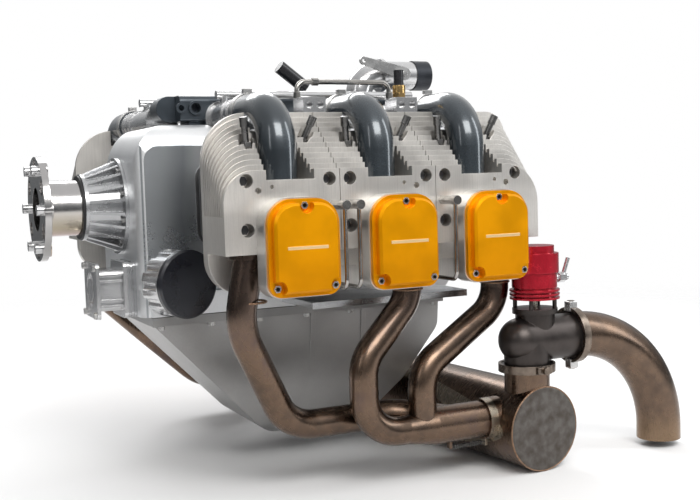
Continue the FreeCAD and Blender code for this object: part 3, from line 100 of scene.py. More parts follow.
# %% Sockets that calculate
class Wire:
    """A socket that adds, subtracts and multiplies like a number."""

    def __init__(self, graph, socket):
        self.graph = graph
        self.socket = socket

    def math(self, operation, *terms):
        return self.graph.node("ShaderNodeMath", {"operation": operation}, terms)

    def __add__(self, other):
        return self.math("ADD", self, other)

    def __radd__(self, other):
        return self.math("ADD", other, self)

    def __sub__(self, other):
        return self.math("SUBTRACT", self, other)

    def __rsub__(self, other):
        return self.math("SUBTRACT", other, self)

    def __mul__(self, other):
        return self.math("MULTIPLY", self, other)

    def __rmul__(self, other):
        return self.math("MULTIPLY", other, self)

    def size(self):
        """The value without its sign."""
        return self.math("ABSOLUTE", self)

    def hypotenuse(self, other):
        """Distance from two legs at a right angle."""
        squares = self * self + other * other
        return squares.math("SQRT", squares)

    def least(self, other):
        return self.math("MINIMUM", self, other)

    def most(self, other):
        return self.math("MAXIMUM", self, other)

    def over(self, limit):
        """1 where the value is above the limit, else 0."""
        return self.math("GREATER_THAN", self, limit)

    def repeat(self, pitch):
        """The value folded into -pitch/2 to pitch/2, again and again."""
        return self.math("WRAP", self, pitch / 2, -pitch / 2)

    def rise(self, low, high):
        """0 at low, 1 at high, and an S-shaped slope between. With low above high it falls."""
        names = {"Value": self, "From Min": low, "From Max": high}
        return self.graph.node("ShaderNodeMapRange", {"interpolation_type": "SMOOTHSTEP"}, names)


print("a wire can", ", ".join(name for name in vars(Wire) if name[0] != "_"))

# %% [markdown]
# ## Nodes in one line
# A shader is a list of nodes and of the links between them. This class makes a node, sets it and feeds its
# inputs in one call. The finishes and the room around the engine are both written with it.

# %% Graph class
class Graph:
    """A node tree whose nodes are made by one call each."""

    def __init__(self, tree):
        self.tree = tree

    def feed(self, socket, value):
        """Links a wire to the socket, or writes a colour or a number into it."""
        if isinstance(value, Wire):
            self.tree.links.new(value.socket, socket)
        elif socket.type == "RGBA":
            socket.default_value = (*value, 1)
        else:
            socket.default_value = value

    def node(self, kind, settings, inputs, output=0):
        """Any node: its settings first, then values or wires by place or by name."""
        made = self.tree.nodes.new(kind)
        for key, value in settings.items():
            setattr(made, key, value)
        pairs = inputs.items() if isinstance(inputs, dict) else enumerate(inputs)
        for key, value in pairs:
            self.feed(made.inputs[key], value)
        return Wire(self, made.outputs[output])

    def mixed(self, mask, low, high):
        """Colour low where the mask is 0, and high where it is 1."""
        return self.node("ShaderNodeMix", {"data_type": "RGBA"}, {0: mask, 6: low, 7: high}, 2)

    def ramp(self, mask, stops):
        """Colours met one after the other as the mask grows, each at its own place."""
        wire = self.node("ShaderNodeValToRGB", {}, (mask,))
        elements = wire.socket.node.color_ramp.elements
        while len(elements) < len(stops):
            elements.new(1.0)
        for element, (place, colour) in zip(elements, stops):
            element.position = place
            element.color = (*colour, 1)
        return wire


print("a graph can", ", ".join(name for name in vars(Graph) if name[0] != "_"))

# %% [markdown]
# ## One class for every finish
# Each finish is a Principled shader on object coordinates, which need no unwrapped mesh. Sharp corners
# would look cut from paper, and bevelling every part would multiply its faces. So a Bevel node tilts the
# normal close to the edges, which catch a thin line of light although no mesh changes, and every relief is
# laid over it by a Bump node. Pattern sizes are in metres, as a maker would measure them.

# %% Finish class
SOFT_EDGE = 0.0008
EDGE_SAMPLES = 4
COAT_ROUGH = 0.1
ROUGH_SWING = 0.08


class Finish(Graph):
    """A material: colour, metal, roughness and coat as plain values, patterns as wires."""

    def __init__(self, name, colour, metal, rough, coat=0.0):
        self.material = bpy.data.materials.new(name)
        self.material.use_nodes = True
        super().__init__(self.material.node_tree)
        self.surface = self.tree.nodes["Principled BSDF"]
        self.reliefs = []
        self.put("Base Color", colour)
        self.put("Metallic", metal)
        self.put("Roughness", rough)
        self.put("Coat Weight", coat)
        self.put("Coat Roughness", COAT_ROUGH)

    def put(self, name, value):
        """Sets an input of the surface and keeps the value, so that a later layer can start from it."""
        self.feed(self.surface.inputs[name], value)
        setattr(self, name.lower().replace(" ", "_"), value)

    def place(self):
        return self.node("ShaderNodeTexCoord", {}, {}, "Object")

    def along(self, axis):
        """One coordinate of the point: 0 for X, 1 for Y, 2 for Z."""
        return self.node("ShaderNodeSeparateXYZ", {}, (self.place(),), axis)

    def noise(self, size, stretch=(1, 1, 1), detail=3.0):
        """Cloudy pattern from 0 to 1, with patches of about that size, longer where stretch is more."""
        scale = tuple(1 / (size * s) for s in stretch)
        spot = self.node("ShaderNodeMapping", {}, {"Vector": self.place(), "Scale": scale})
        return self.node("ShaderNodeTexNoise", {}, {"Vector": spot, "Scale": 1.0, "Detail": detail})

    def tint(self, mask, colour, share=None):
        """Lays a colour, or a share of it, over what the surface has where the mask is 1."""
        weight = mask if share is None else mask * share
        self.put("Base Color", self.mixed(weight, self.base_color, colour))

    def uneven(self, rough, broad, fine):
        """Roughness that two patterns carry to both sides of the given value."""
        self.put("Roughness", broad * ROUGH_SWING + fine * ROUGH_SWING + (rough - ROUGH_SWING))

    def relief(self, height, depth):
        """Adds relief: height from 0 to 1, and its depth in metres."""
        self.reliefs.append((height, depth))

    def done(self):
        """Lays the soft edges and the reliefs on the surface, and gives the material."""
        normal = self.node("ShaderNodeBevel", {"samples": EDGE_SAMPLES}, {"Radius": SOFT_EDGE})
        for height, depth in self.reliefs:
            bump = {"Distance": depth, "Height": height, "Normal": normal}
            normal = self.node("ShaderNodeBump", {}, bump)
        self.put("Normal", normal)
        return self.material


def shade(colour, factor):
    """The colour made darker or lighter by a factor."""
    return tuple(min(c * factor, 1.0) for c in colour)


print("a finish can", ", ".join(name for name in vars(Finish) if name[0] != "_"))

# %% [markdown]
# ## Machined and cast aluminium
# Most of the engine is aluminium in different states. Milled faces keep fine parallel lines, castings are
# blasted and slightly mottled, and both gather a soft grey stain in broad patches. One recipe with a
# direction for the tool marks covers them, so the parts belong together and still differ. The heads get
# one more layer, brushed from top to bottom.

# %% Aluminium recipe
GRAIN = 0.0011
MARK_DEPTH = 0.00003
MARK_STRETCH = 50
METAL_SHARE = 0.85
SPECKLE = 0.3
SPECKLE_SHADE = 0.7
BRUSH_GRAIN = 0.0012
BRUSH_STRETCH = (1, 1, 40)
BRUSH_DARK = (0.48, 0.46, 0.435)


def aluminium(name, colour, rough, lines=None, stain=0.84, patch=0.05):
    """Metal with a broad stain, fine speckle and tool marks drawn out along the axis `lines`."""
    finish = Finish(name, colour, METAL_SHARE, rough)
    broad = finish.noise(patch, detail=4.0).rise(0.36, 0.66)
    fine = finish.noise(2 * GRAIN, detail=2.0)
    stretch = [1, 1, 1]
    if lines is not None:
        stretch[lines] = MARK_STRETCH
    marks = finish.noise(GRAIN, stretch, detail=2.0)
    finish.put("Base Color", finish.mixed(broad, shade(colour, stain), colour))
    finish.tint(fine, shade(colour, SPECKLE_SHADE), SPECKLE)
    finish.uneven(rough, broad, fine)
    finish.relief(marks, MARK_DEPTH)
    return finish


head = aluminium("head_metal", (0.74, 0.71, 0.67), 0.38, stain=0.9)
brushed = head.noise(BRUSH_GRAIN, BRUSH_STRETCH)
head.tint(brushed.rise(0.42, 0.72), BRUSH_DARK, share=0.35)
head.put("Roughness", head.roughness + brushed * 0.12 - 0.05)
head_metal = head.done()
box_metal = aluminium("box_metal", (0.72, 0.705, 0.68), 0.36).done()
cast_metal = aluminium("cast_metal", (0.50, 0.505, 0.515), 0.25).done()
bright_metal = aluminium("bright_metal", (0.66, 0.66, 0.665), 0.20, lines=1, stain=0.92).done()
barrel_metal = aluminium("barrel_metal", (0.24, 0.24, 0.245), 0.38, lines=0).done()
sump_metal = aluminium("sump_metal", (0.37, 0.365, 0.36), 0.36, lines=2, patch=0.08).done()
print("six aluminium finishes")

# %% [markdown]
# ## Crankcase
# The case is one bright machined body whose cylinder decks are sunk by a millimetre and a half. On the
# decks a painted reflection lays darker tones with bright bands of sheen over the metal. The deck needs no
# mesh of its own: a mask on the distance from the middle plane finds it, because nothing else of the case
# lies at that distance.

# %% Crankcase finish
DECK_Y = 0.1085
DECK_BAND = 0.0004
DECK_GLOSS = 0.06
REFLECTION_BANDS_PER_METRE = 9
REFLECTION_BAND_WANDER = 0.35
DECK_REFLECTION_TONES = [(0.0, (0.38, 0.40, 0.42)), (0.25, (0.26, 0.28, 0.30)), (0.55, (0.64, 0.66, 0.68)),
              (0.8, (0.42, 0.44, 0.46)), (1.0, (0.38, 0.40, 0.42))]

case = aluminium("crankcase_metal", (0.90, 0.91, 0.92), 0.36, lines=2, stain=0.93, patch=0.12)
on_deck = (case.along(1).size() - DECK_Y).size().rise(2 * DECK_BAND, DECK_BAND)
reflection_streaks = case.noise(0.05, (1, 1, 3), detail=2.0)
painted_sheen = (case.along(0) * REFLECTION_BANDS_PER_METRE + reflection_streaks * REFLECTION_BAND_WANDER).repeat(1.0) + 0.5
# painted reflection: the deck takes darker tones with bright bands of sheen
case.tint(on_deck, case.ramp(painted_sheen, DECK_REFLECTION_TONES))
case.put("Roughness", case.roughness - on_deck * DECK_GLOSS)
crankcase_metal = case.done()
print("crankcase with dark decks")

# %% [markdown]
# ## Amber covers
# The six rocker covers draw the eye first: deep amber with a satin bloom, like anodised metal under a thin
# lacquer. A partly metallic base gives the coloured shine, a trace of coat the pale rim, and a very fine
# orange peel keeps the flat face alive. A painted shade darkens the colour towards the lower edge. A pale
# embossed line marks each face. Its mask folds X at the cylinder pitch, so one expression serves three
# covers, and the far bank is found by the sign of Y.

# %% Cover finish
AMBER = (0.90, 0.365, 0.0)
PITCH_X = 0.137
STAGGER = 0.0685
NEAR_COVER_X = 0.255
LINE_Z = -0.050
LINE_HALF = 0.0265
LINE_WIDTH = 0.0022
LINE_END_SLOPE = 0.0008
LINE_SIDE_SLOPE = 0.0006
LINE_HEIGHT = 0.0004
FACE_Y = 0.3505
FACE_SLOPE = 0.001
SHADE_FROM_Z = -0.02
SHADE_FULL_Z = -0.115
SHADED_AMBER = (0.52, 0.16, 0.001)
LINE_AMBER = (0.90, 0.72, 0.42)
PEEL = 0.0016
PEEL_DEPTH = 0.00004


def cover_offset(finish):
    """X from the middle line of the cover that the point is on."""
    far = finish.along(1).over(0.0)
    return (finish.along(0) + far * STAGGER - NEAR_COVER_X).repeat(PITCH_X)


cover = Finish("cover_amber", AMBER, 0.60, 0.34, coat=0.03)
cover.put("Specular IOR Level", 0.15)
bloom = cover.noise(0.045).rise(0.3, 0.7)
cover.put("Base Color", cover.mixed(bloom, shade(AMBER, 0.86), AMBER))
# painted shade: the amber darkens towards the lower edge of each cover
cover.tint(cover.along(2).rise(SHADE_FROM_Z, SHADE_FULL_Z), SHADED_AMBER, share=0.35)
peel = cover.noise(PEEL, detail=2.0)
cover.put("Roughness", bloom * 0.06 + peel * 0.08 + 0.27)
within = cover_offset(cover).size().rise(LINE_HALF, LINE_HALF - LINE_END_SLOPE)
level_with = (cover.along(2) - LINE_Z).size().rise(LINE_WIDTH, LINE_WIDTH - LINE_SIDE_SLOPE)
on_face = cover.along(1).size().rise(FACE_Y - FACE_SLOPE, FACE_Y)
line = within * level_with * on_face
cover.tint(line, LINE_AMBER, share=0.75)
cover.relief(peel, PEEL_DEPTH)
cover.relief(line, LINE_HEIGHT)
cover_amber = cover.done()
print("amber covers with an embossed line")

# %% [markdown]
# ## Cover screws
# Each cover has three screws with sockets: one at the top on the middle line, two at the bottom corners.
# The packed heads are plain. Cutting a hole into each would need new meshes for a detail of five
# millimetres, so each socket is painted shade: a dark round pit in the finish, found by the distance to the
# nearest screw centre on the same folded X.

# %% Screw finish
TOP_SCREW_Z = -0.0002
LOW_SCREW_Z = -0.0975
LOW_SCREW_X = 0.0375
SOCKET_R = 0.0026
SOCKET_SLOPE = 0.0002
SOCKET_DEPTH = 0.002
PALE_SCREW = (0.66, 0.64, 0.60)
DULL_SCREW = (0.50, 0.48, 0.44)
SOCKET_SHADE = (0.03, 0.028, 0.025)

screw = Finish("cover_screws", PALE_SCREW, 1.0, 0.22)
aside = cover_offset(screw)
to_top = aside.hypotenuse(screw.along(2) - TOP_SCREW_Z)
to_low = (aside.size() - LOW_SCREW_X).hypotenuse(screw.along(2) - LOW_SCREW_Z)
pit = to_top.least(to_low).rise(SOCKET_R + SOCKET_SLOPE, SOCKET_R - SOCKET_SLOPE)
grit = screw.noise(0.0015)
screw.put("Base Color", screw.mixed(grit, PALE_SCREW, DULL_SCREW))
# painted shade: a dark pit stands in for the hollow of each socket
screw.tint(pit, SOCKET_SHADE)
screw.put("Roughness", grit * 0.15 + 0.16)
screw.relief(1 - pit, SOCKET_DEPTH)
screw_finish = screw.done()
print("cover screws with sockets")

# %% [markdown]
# ## Exhaust steel
# Stainless pipe turns bronze, brown and faintly violet with heat, most strongly close to the heads. Two
# noises of different size wander through a ramp of those tints, and the height above the collectors pushes
# them darker towards the ports. Painting by hand would look no truer and would have to be done for each
# pipe. The dump pipe's open end stays pale gold, and a rubbed ring shows where a collector slips into the
# muffler. Thin scratches vary the gloss.

# %% Exhaust finishes
BELOW_ALL_Z = -0.45          # lower than the engine reaches, for pipes without a pale end
DUMP_PALE_Z = -0.345
WARM_Z = -0.19
HOT_Z = -0.12
HEAT_TONES = [(0.25, (0.075, 0.055, 0.047)), (0.42, (0.125, 0.088, 0.066)),
              (0.55, (0.165, 0.112, 0.080)), (0.72, (0.120, 0.086, 0.078))]
HOT_BROWN = (0.075, 0.06, 0.06)
PALE_GOLD = (0.27, 0.185, 0.115)
PALE_ABOVE = 0.03
PALE_BELOW = 0.02
BLOTCH = 0.07
FLECK = 0.012
DENT = 0.02
DENT_DEPTH = 0.0001
SCRATCH = 0.003
SCRATCH_STRETCH = (6, 1, 6)
SCRATCH_DEPTH = 0.00003
RUBBED = (0.42, 0.37, 0.30)
SLEEVE_X = 0.5365
SLEEVE_HALF = 0.0062
SLEEVE_SLOPE = 0.0004
SLEEVE_TOP_Z = -0.262
SLEEVE_FULL_Z = -0.266


def heated(name, pale_end):
    """Heat-tinted steel that turns to pale gold under the height pale_end."""
    finish = Finish(name, (0.2, 0.16, 0.12), 1.0, 0.33)
    wander = finish.noise(BLOTCH, detail=4.0) * 0.65 + finish.noise(FLECK) * 0.35
    finish.put("Base Color", finish.ramp(wander, HEAT_TONES))
    height = finish.along(2)
    finish.tint(height.rise(WARM_Z, HOT_Z), HOT_BROWN, share=0.45)
    finish.tint(height.rise(pale_end + PALE_ABOVE, pale_end - PALE_BELOW), PALE_GOLD, share=0.6)
    scratch = finish.noise(SCRATCH, SCRATCH_STRETCH)
    finish.put("Roughness", wander * 0.16 + scratch * 0.12 + 0.13)
    finish.relief(finish.noise(DENT, detail=2.0), DENT_DEPTH)
    finish.relief(scratch, SCRATCH_DEPTH)
    return finish


pipes = heated("exhaust_steel", BELOW_ALL_Z)
folded_x = pipes.along(0) + pipes.along(1).over(0.0) * STAGGER
sleeve = (folded_x - SLEEVE_X).size().rise(SLEEVE_HALF, SLEEVE_HALF - SLEEVE_SLOPE)
low_down = pipes.along(2).rise(SLEEVE_TOP_Z, SLEEVE_FULL_Z)
pipes.tint(sleeve * low_down, RUBBED, share=0.8)
exhaust_steel = pipes.done()
dump_steel = heated("dump_steel", DUMP_PALE_Z).done()
print("exhaust finishes")

# %% [markdown]
# ## Cap metal
# The muffler drum wears the same heat tints as the pipes, but the steel of its end caps is dull and grey,
# mottled by soot and handling. The pipe steel with less shine would still look too clean, so a noise with
# many octaves drives colour, gloss and relief together.

# %% Cap finish
CAP_TONES = [(0.34, (0.082, 0.069, 0.060)), (0.5, (0.105, 0.094, 0.085)), (0.66, (0.135, 0.125, 0.115))]
MOTTLE = 0.013
MOTTLE_DEPTH = 0.0004

lid = Finish("cap_metal", (0.3, 0.3, 0.3), 0.9, 0.42)
mottle = lid.noise(MOTTLE, detail=6.0)
lid.put("Base Color", lid.ramp(mottle, CAP_TONES))
lid.put("Roughness", 0.62 - mottle * 0.35)
lid.relief(mottle, MOTTLE_DEPTH)
cap_metal = lid.done()
print("cap metal")

# %% [markdown]
# ## Smaller finishes
# The rest are hoses, brackets, bolts, seals and bands. Each could have a graph of its own, but one recipe
# keeps them related and short: a lacquered tube is dark under a clear coat, plain steel is all metal, and
# rubber is matt. Each keeps some wandering colour and roughness and a fine tooth, since a perfectly even
# surface reads as a plain computer shape.

# %% Smaller finishes
TOOTH = 0.0012


def worn(name, colour, metal, rough, coat=0.0, spread=0.8, size=0.02, depth=0.00003):
    """Any plain finish: colour drifting by `spread`, roughness by a tenth, and a fine tooth."""
    finish = Finish(name, colour, metal, rough, coat)
    drift = finish.noise(size, detail=4.0).rise(0.3, 0.7)
    finish.put("Base Color", finish.mixed(drift, shade(colour, spread), colour))
    fine = finish.noise(TOOTH, detail=2.0)
    finish.uneven(rough, drift, fine)
    finish.relief(fine, depth)
    return finish


intake_hose = worn("intake_hose", (0.045, 0.056, 0.066), 0.5, 0.24, coat=0.9, size=0.05,
                   depth=0.00001).done()
black_anodised = worn("black_anodised", (0.030, 0.034, 0.042), 0.45, 0.36, spread=0.7).done()
plenum_finish = worn("plenum_lacquer", (0.055, 0.068, 0.082), 0.5, 0.34, coat=0.2, size=0.05).done()
red_anodised = worn("red_anodised", (0.46, 0.008, 0.024), 0.5, 0.24, coat=0.4, spread=0.92).done()
steel = worn("steel", (0.62, 0.61, 0.60), 1.0, 0.28, spread=0.85).done()
pipe_steel = worn("pipe_steel", (0.40, 0.385, 0.365), 1.0, 0.22, spread=0.85).done()
plug_finish = worn("plug_finish", (0.22, 0.215, 0.21), 1.0, 0.26, spread=0.7).done()
band_steel = worn("band_steel", (0.24, 0.195, 0.16), 1.0, 0.30, spread=0.6, size=0.01).done()
dark_steel = worn("dark_steel", (0.10, 0.10, 0.105), 0.9, 0.36, spread=0.7).done()
valve_metal = worn("valve_metal", (0.072, 0.062, 0.058), 0.9, 0.36, spread=0.75, depth=0.00006).done()
filter_black = worn("filter_black", (0.013, 0.014, 0.020), 0.2, 0.30, coat=0.5).done()
gasket = worn("gasket", (0.05, 0.05, 0.05), 0.0, 0.8, spread=0.7).done()
seal_rubber = worn("seal_rubber", (0.012, 0.012, 0.013), 0.0, 0.55, spread=0.7).done()
weld_metal = worn("weld_metal", (0.32, 0.20, 0.13), 1.0, 0.32, spread=0.6, size=0.004).done()
print("fourteen smaller finishes")

# %% [markdown]
# ## Polished shaft
# The ground shaft mirrors the room in warm and cool bands. A real mirror would need the room, so a little
# of it is laid on as colour: bands of yellow, rose and blue-grey that depend on how far round the shaft a
# point lies, which is its angle about the X axis. The flange in front keeps plain steel.

# %% Shaft finish
SHAFT_START = 0.010
SHAFT_BANDS = [(0.0, (0.44, 0.43, 0.425)), (0.12, (0.60, 0.49, 0.30)), (0.20, (0.56, 0.37, 0.33)),
               (0.28, (0.30, 0.36, 0.44)), (0.40, (0.60, 0.55, 0.45)), (0.6, (0.44, 0.43, 0.425))]

shaft = worn("polished_steel", (0.45, 0.44, 0.435), 1.0, 0.17, spread=0.93, depth=0.00001)
height = shaft.along(2)
round_share = height.math("ARCTAN2", height, shaft.along(1)) * (0.5 / math.pi) + 0.5
shaft.tint(shaft.along(0).over(SHAFT_START), shaft.ramp(round_share, SHAFT_BANDS), share=0.55)
polished_steel = shaft.done()
print("shaft with warm and cool bands")

# %% [markdown]
# ## Brass and its neighbours
# The senders are one packed part with a brass foot, a black cap and a black solenoid. Height tells the cap
# from the foot, and Y the solenoid from both, so one material carries brass and black without a new mesh.

# %% Sender finish
BRASS_TOP = 0.155
SOLENOID_LIMIT_Y = -0.12
SENDER_BLACK = (0.02, 0.02, 0.022)

sender = worn("brass", (0.70, 0.47, 0.20), 1.0, 0.26)
dark = sender.along(2).over(BRASS_TOP).most(sender.along(1).over(SOLENOID_LIMIT_Y))
sender.tint(dark, SENDER_BLACK)
sender.put("Metallic", 1.0 - dark * 0.85)
brass = sender.done()
print("sender finish")

# %% [markdown]
# ## Handing out the finishes
# Each packed part already has one material slot. Sixty lines could fill them one by one, but names that
# share a beginning, such as the six covers, share a row of this table. The first row that fits is taken,
# so head_bolts stands before head_.

# %% Assign finishes
FINISHES = {
    "head_bolts": dark_steel, "head_": head_metal, "rocker_cover": cover_amber, "rocker_boxes": box_metal,
    "cylinders": barrel_metal, "crankcase": crankcase_metal, "nose_case": cast_metal,
    "rear_cover": cast_metal, "gear_housing": bright_metal, "gear_plates": cast_metal,
    "sump_gasket": gasket, "sump_bolts": steel, "sump": sump_metal, "ledges": bright_metal,
    "intake_tubes": intake_hose, "intake_stubs": bright_metal, "fuel_": bright_metal,
    "hose_clamps": steel, "exhaust_springs": steel, "exhaust_": exhaust_steel, "muffler": exhaust_steel,
    "dump_pipe": dump_steel, "v_bands": band_steel, "valve_body": valve_metal,
    "valve_stem": polished_steel, "actuator_fitting": bright_metal, "actuator": red_anodised,
    "plenum": plenum_finish,
    "throttle_body": bright_metal, "throttle_elbow": bright_metal, "throttle_": steel,
    "inlet_ring": black_anodised, "crossover_pipe": pipe_steel, "oil_pipes": pipe_steel,
    "cover_screws": screw_finish, "front_screws": steel, "spark_plugs": plug_finish, "sensors": brass,
    "propeller_shaft": polished_steel, "flange_bushes": bright_metal, "shaft_seal": seal_rubber,
    "filter_cap": filter_black, "filter_collar": bright_metal,
}

for name, part in nodes.items():
    row = next(start for start in FINISHES if name.startswith(start))
    part.material_slots[0].material = FINISHES[row]
print(len(nodes), "parts finished")

# %% [markdown]
# ## Surfaces from formulas
# The springs, lids, bolt blocks and welds are new pieces. A curve with a round bevel would do for a plain
# wire, but not for the others, so all of them are grids of points: one index runs along a path, the other
# round the section. A path needs a frame at each point, and crossing its tangent with a fixed direction
# gives one that never twists.

# %% Tube along a path
LEAN = np.array((0.31, 0.17, 0.93))


def around(count):
    """Angles that share a full turn."""
    return np.linspace(0, 2 * math.pi, count, endpoint=False)


def grid_object(name, points, material, closed_path=False):
    """Mesh from points[i, j]. Each row closes round j, and a disc closes each end of an open path."""
    rows, columns = points.shape[:2]
    last = rows if closed_path else rows - 1
    i, j = np.meshgrid(np.arange(last), np.arange(columns), indexing="ij")
    here = i * columns
    below = (i + 1) % rows * columns
    beside = (j + 1) % columns
    quads = np.stack([here + j, here + beside, below + beside, below + j], axis=-1)
    faces = quads.reshape(-1, 4).tolist()
    if not closed_path:
        faces.append(list(range(columns))[::-1])
        faces.append(list(range((rows - 1) * columns, rows * columns)))
    mesh = bpy.data.meshes.new(name)
    mesh.from_pydata(points.reshape(-1, 3).tolist(), [], faces)
    mesh.shade_smooth()
    mesh.materials.append(material)
    piece = bpy.data.objects.new(name, mesh)
    bpy.context.scene.collection.objects.link(piece)
    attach(piece, "engine")
    return piece


def tube_points(path, radius, sides, closed_path=False):
    """Circles of the given radius, across the path at each of its points."""
    if closed_path:
        tangent = np.roll(path, -1, axis=0) - np.roll(path, 1, axis=0)
    else:
        tangent = np.gradient(path, axis=0)
    tangent /= np.linalg.norm(tangent, axis=1, keepdims=True)
    side = np.cross(tangent, LEAN)
    side /= np.linalg.norm(side, axis=1, keepdims=True)
    up = np.cross(side, tangent)
    angle = around(sides)[None, :, None]
    reach = np.broadcast_to(np.asarray(radius), len(path))[:, None, None]
    ring = np.cos(angle) * side[:, None, :] + np.sin(angle) * up[:, None, :]
    return path[:, None, :] + reach * ring


print("a quarter turn apart", around(4).round(3).tolist())

# %% [markdown]
# ## Joint springs
# A tension spring under each collector pulls its slip joint together. Its packed part is a plain rod, and a
# Screw modifier on a small circle would wind one, but leave its ends cut off in the air. Here the wire is a
# formula: X grows evenly with the turn angle while Y and Z draw a circle. At both ends the circle shrinks
# to nothing, so the wire runs out straight along the middle line to its ear.

# %% Springs
SPRING_TURNS = 15
SPRING_R = 0.0027
WIRE_R = 0.00075
WIRE_SIDES = 8
STEPS_PER_TURN = 24
FADE_SHARE = 0.10
BANKS = (("near", -1, 0.0), ("far", 1, STAGGER))


def spring_path(start, end, centre_y, centre_z):
    """Helix about a line along X, whose radius grows over the first tenth and fades over the last."""
    share = np.linspace(0, 1, STEPS_PER_TURN * SPRING_TURNS)
    fade = np.clip(np.minimum(share, 1 - share) / FADE_SHARE, 0, 1)
    radius = SPRING_R * fade * fade * (3 - 2 * fade)
    angle = 2 * math.pi * SPRING_TURNS * share
    x = start + (end - start) * share
    return np.stack([x, centre_y + radius * np.cos(angle), centre_z + radius * np.sin(angle)], axis=1)


spring_low, spring_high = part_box("exhaust_springs")
spring_z = (spring_low.z + spring_high.z) / 2
spring_y = spring_high.y - SPRING_R - WIRE_R
spring_length = spring_high.x - spring_low.x - STAGGER
for side_name, sign, shift in BANKS:
    end_x = spring_high.x - shift
    route = spring_path(end_x - spring_length, end_x, sign * spring_y, spring_z)
    wire = tube_points(route, WIRE_R, WIRE_SIDES)
    spring = grid_object(f"{side_name}_spring", wire, plug_finish)
    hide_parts("exhaust_springs")
print("two springs,", len(spring.data.polygons), "faces each")

# %% [markdown]
# ## Muffler caps
# Each end of the drum is closed by a pressed lid: flat in the middle, with a rounded shoulder. A cylinder
# with bevelled edges comes close. Turning a profile also leaves the rows where the light needs them, close
# together on the shoulder. Radius and height follow the profile, and the angle runs round. The drum's axis
# is skewed by the bank stagger, and three directions, along, beside and up, place the lid.

# %% Caps
DRUM_Z = -0.318
DRUM_R = 0.058
DRUM_END = Vector((0.602, -0.332, DRUM_Z))
DRUM_FAR_END = Vector((0.5335, 0.332, DRUM_Z))
LID_HEIGHT = 0.0014
LID_SHOULDER = 0.004
LID_MARGIN = 0.0012
LID_R = DRUM_R - LID_MARGIN
LID_SKIRT = 0.0015
LID_MIDDLE_R = 0.002
LID_SIDES = 128
SHOULDER_ROWS = 9
FLAT_ROWS = 13


def turned_points(profile, centre, axis, sides):
    """Profile rows (radius, height) turned about an axis: radius goes round, height goes along it."""
    along = np.array(axis)
    beside = np.cross(LEAN, along)
    beside /= np.linalg.norm(beside)
    up = np.cross(along, beside)
    angle = around(sides)[None, :, None]
    radius = profile[:, 0][:, None, None]
    height = profile[:, 1][:, None, None]
    ring = np.cos(angle) * beside + np.sin(angle) * up
    return np.array(centre) + radius * ring + height * along


def lid_profile():
    """From inside the rim, over a quarter round, to a small disc at the middle."""
    bend = np.linspace(0, math.pi / 2, SHOULDER_ROWS)
    shoulder = np.stack([LID_R - LID_SHOULDER * (1 - np.cos(bend)), LID_HEIGHT * np.sin(bend)], axis=1)
    base = np.array([[LID_R, -LID_SKIRT]])
    inward = np.linspace(LID_R - LID_SHOULDER, LID_MIDDLE_R, FLAT_ROWS + 1)[1:]
    flat = np.stack([inward, np.full(FLAT_ROWS, LID_HEIGHT)], axis=1)
    return np.concatenate([base, shoulder, flat])


skew = (DRUM_END - DRUM_FAR_END).normalized()
drum_ends = {"near": (DRUM_END, skew), "far": (DRUM_FAR_END, -skew)}
for side_name, (centre, out) in drum_ends.items():
    cap = turned_points(lid_profile(), centre, out, LID_SIDES)
    grid_object(f"{side_name}_cap", cap, cap_metal)
print("two muffler caps")

# %% [markdown]
# ## Band bolts
# A V-band is drawn tight by bolts in small blocks: two on the outlet's band, and one on the near side of
# the riser's. A block could be a cube with a Bevel modifier. Here it is one formula on the same grid: take
# a point on a sphere, raise the size of its sines and cosines to a small power, and the ball turns square.

# %% Band blocks
BLOCK_POWER = 0.22
BLOCK_ROWS = 30
BLOCK_COLUMNS = 48
POLE_GAP = 0.02
BLOCK_HALF = (0.0068, 0.0066, 0.0074)
FRONT_BLOCK_HALF = (0.0115, 0.0050, 0.0050)
FRONT_BLOCK_INSET = 0.003
BAND_R = 0.0400
BAND_TOP = 0.048             # from the axis of the outlet to the top of its band
OUTLET_BAND_HALF = 0.0055
RISER_BAND_HEIGHT = 0.011
RISER_X = 0.596


def signed_power(value, power):
    return np.sign(value) * np.abs(value) ** power


def block_points(centre, half):
    """Rounded box: a sphere whose sines and cosines are raised to a small power."""
    pole = math.pi / 2 - POLE_GAP
    tilt = np.linspace(-pole, pole, BLOCK_ROWS)[:, None]
    angle = np.linspace(-math.pi, math.pi, BLOCK_COLUMNS, endpoint=False)[None, :]
    ring = signed_power(np.cos(tilt), BLOCK_POWER)
    x = ring * signed_power(np.cos(angle), BLOCK_POWER)
    y = ring * signed_power(np.sin(angle), BLOCK_POWER)
    z = signed_power(np.sin(tilt), BLOCK_POWER) + 0 * angle
    return np.array(centre) + np.stack([x, y, z], axis=-1) * np.array(half)


band_low, band_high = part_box("v_bands")
outlet_x = band_high.x - OUTLET_BAND_HALF
valve_y = (band_low.y + band_high.y) / 2
outlet_z = band_high.z - BAND_TOP
for name, sign in (("upper_band_block", 1), ("lower_band_block", -1)):
    centre = (outlet_x, valve_y, outlet_z + sign * BAND_R)
    grid_object(name, block_points(centre, BLOCK_HALF), steel)
front_y = band_low.y + BLOCK_HALF[1] + FRONT_BLOCK_INSET
front_centre = (RISER_X, front_y, band_low.z + RISER_BAND_HEIGHT)
grid_object("front_band_block", block_points(front_centre, FRONT_BLOCK_HALF), band_steel)
print("three band blocks")

# %% [markdown]
# ## Weld beads
# Each header is welded under its flange, and each muffler lid round its rim. A plain torus would look like
# an O-ring. The bead is a ring whose thickness ripples: the section radius is a plain value plus a small
# absolute sine of the angle round the pipe, like the overlapping scales a welder leaves behind.

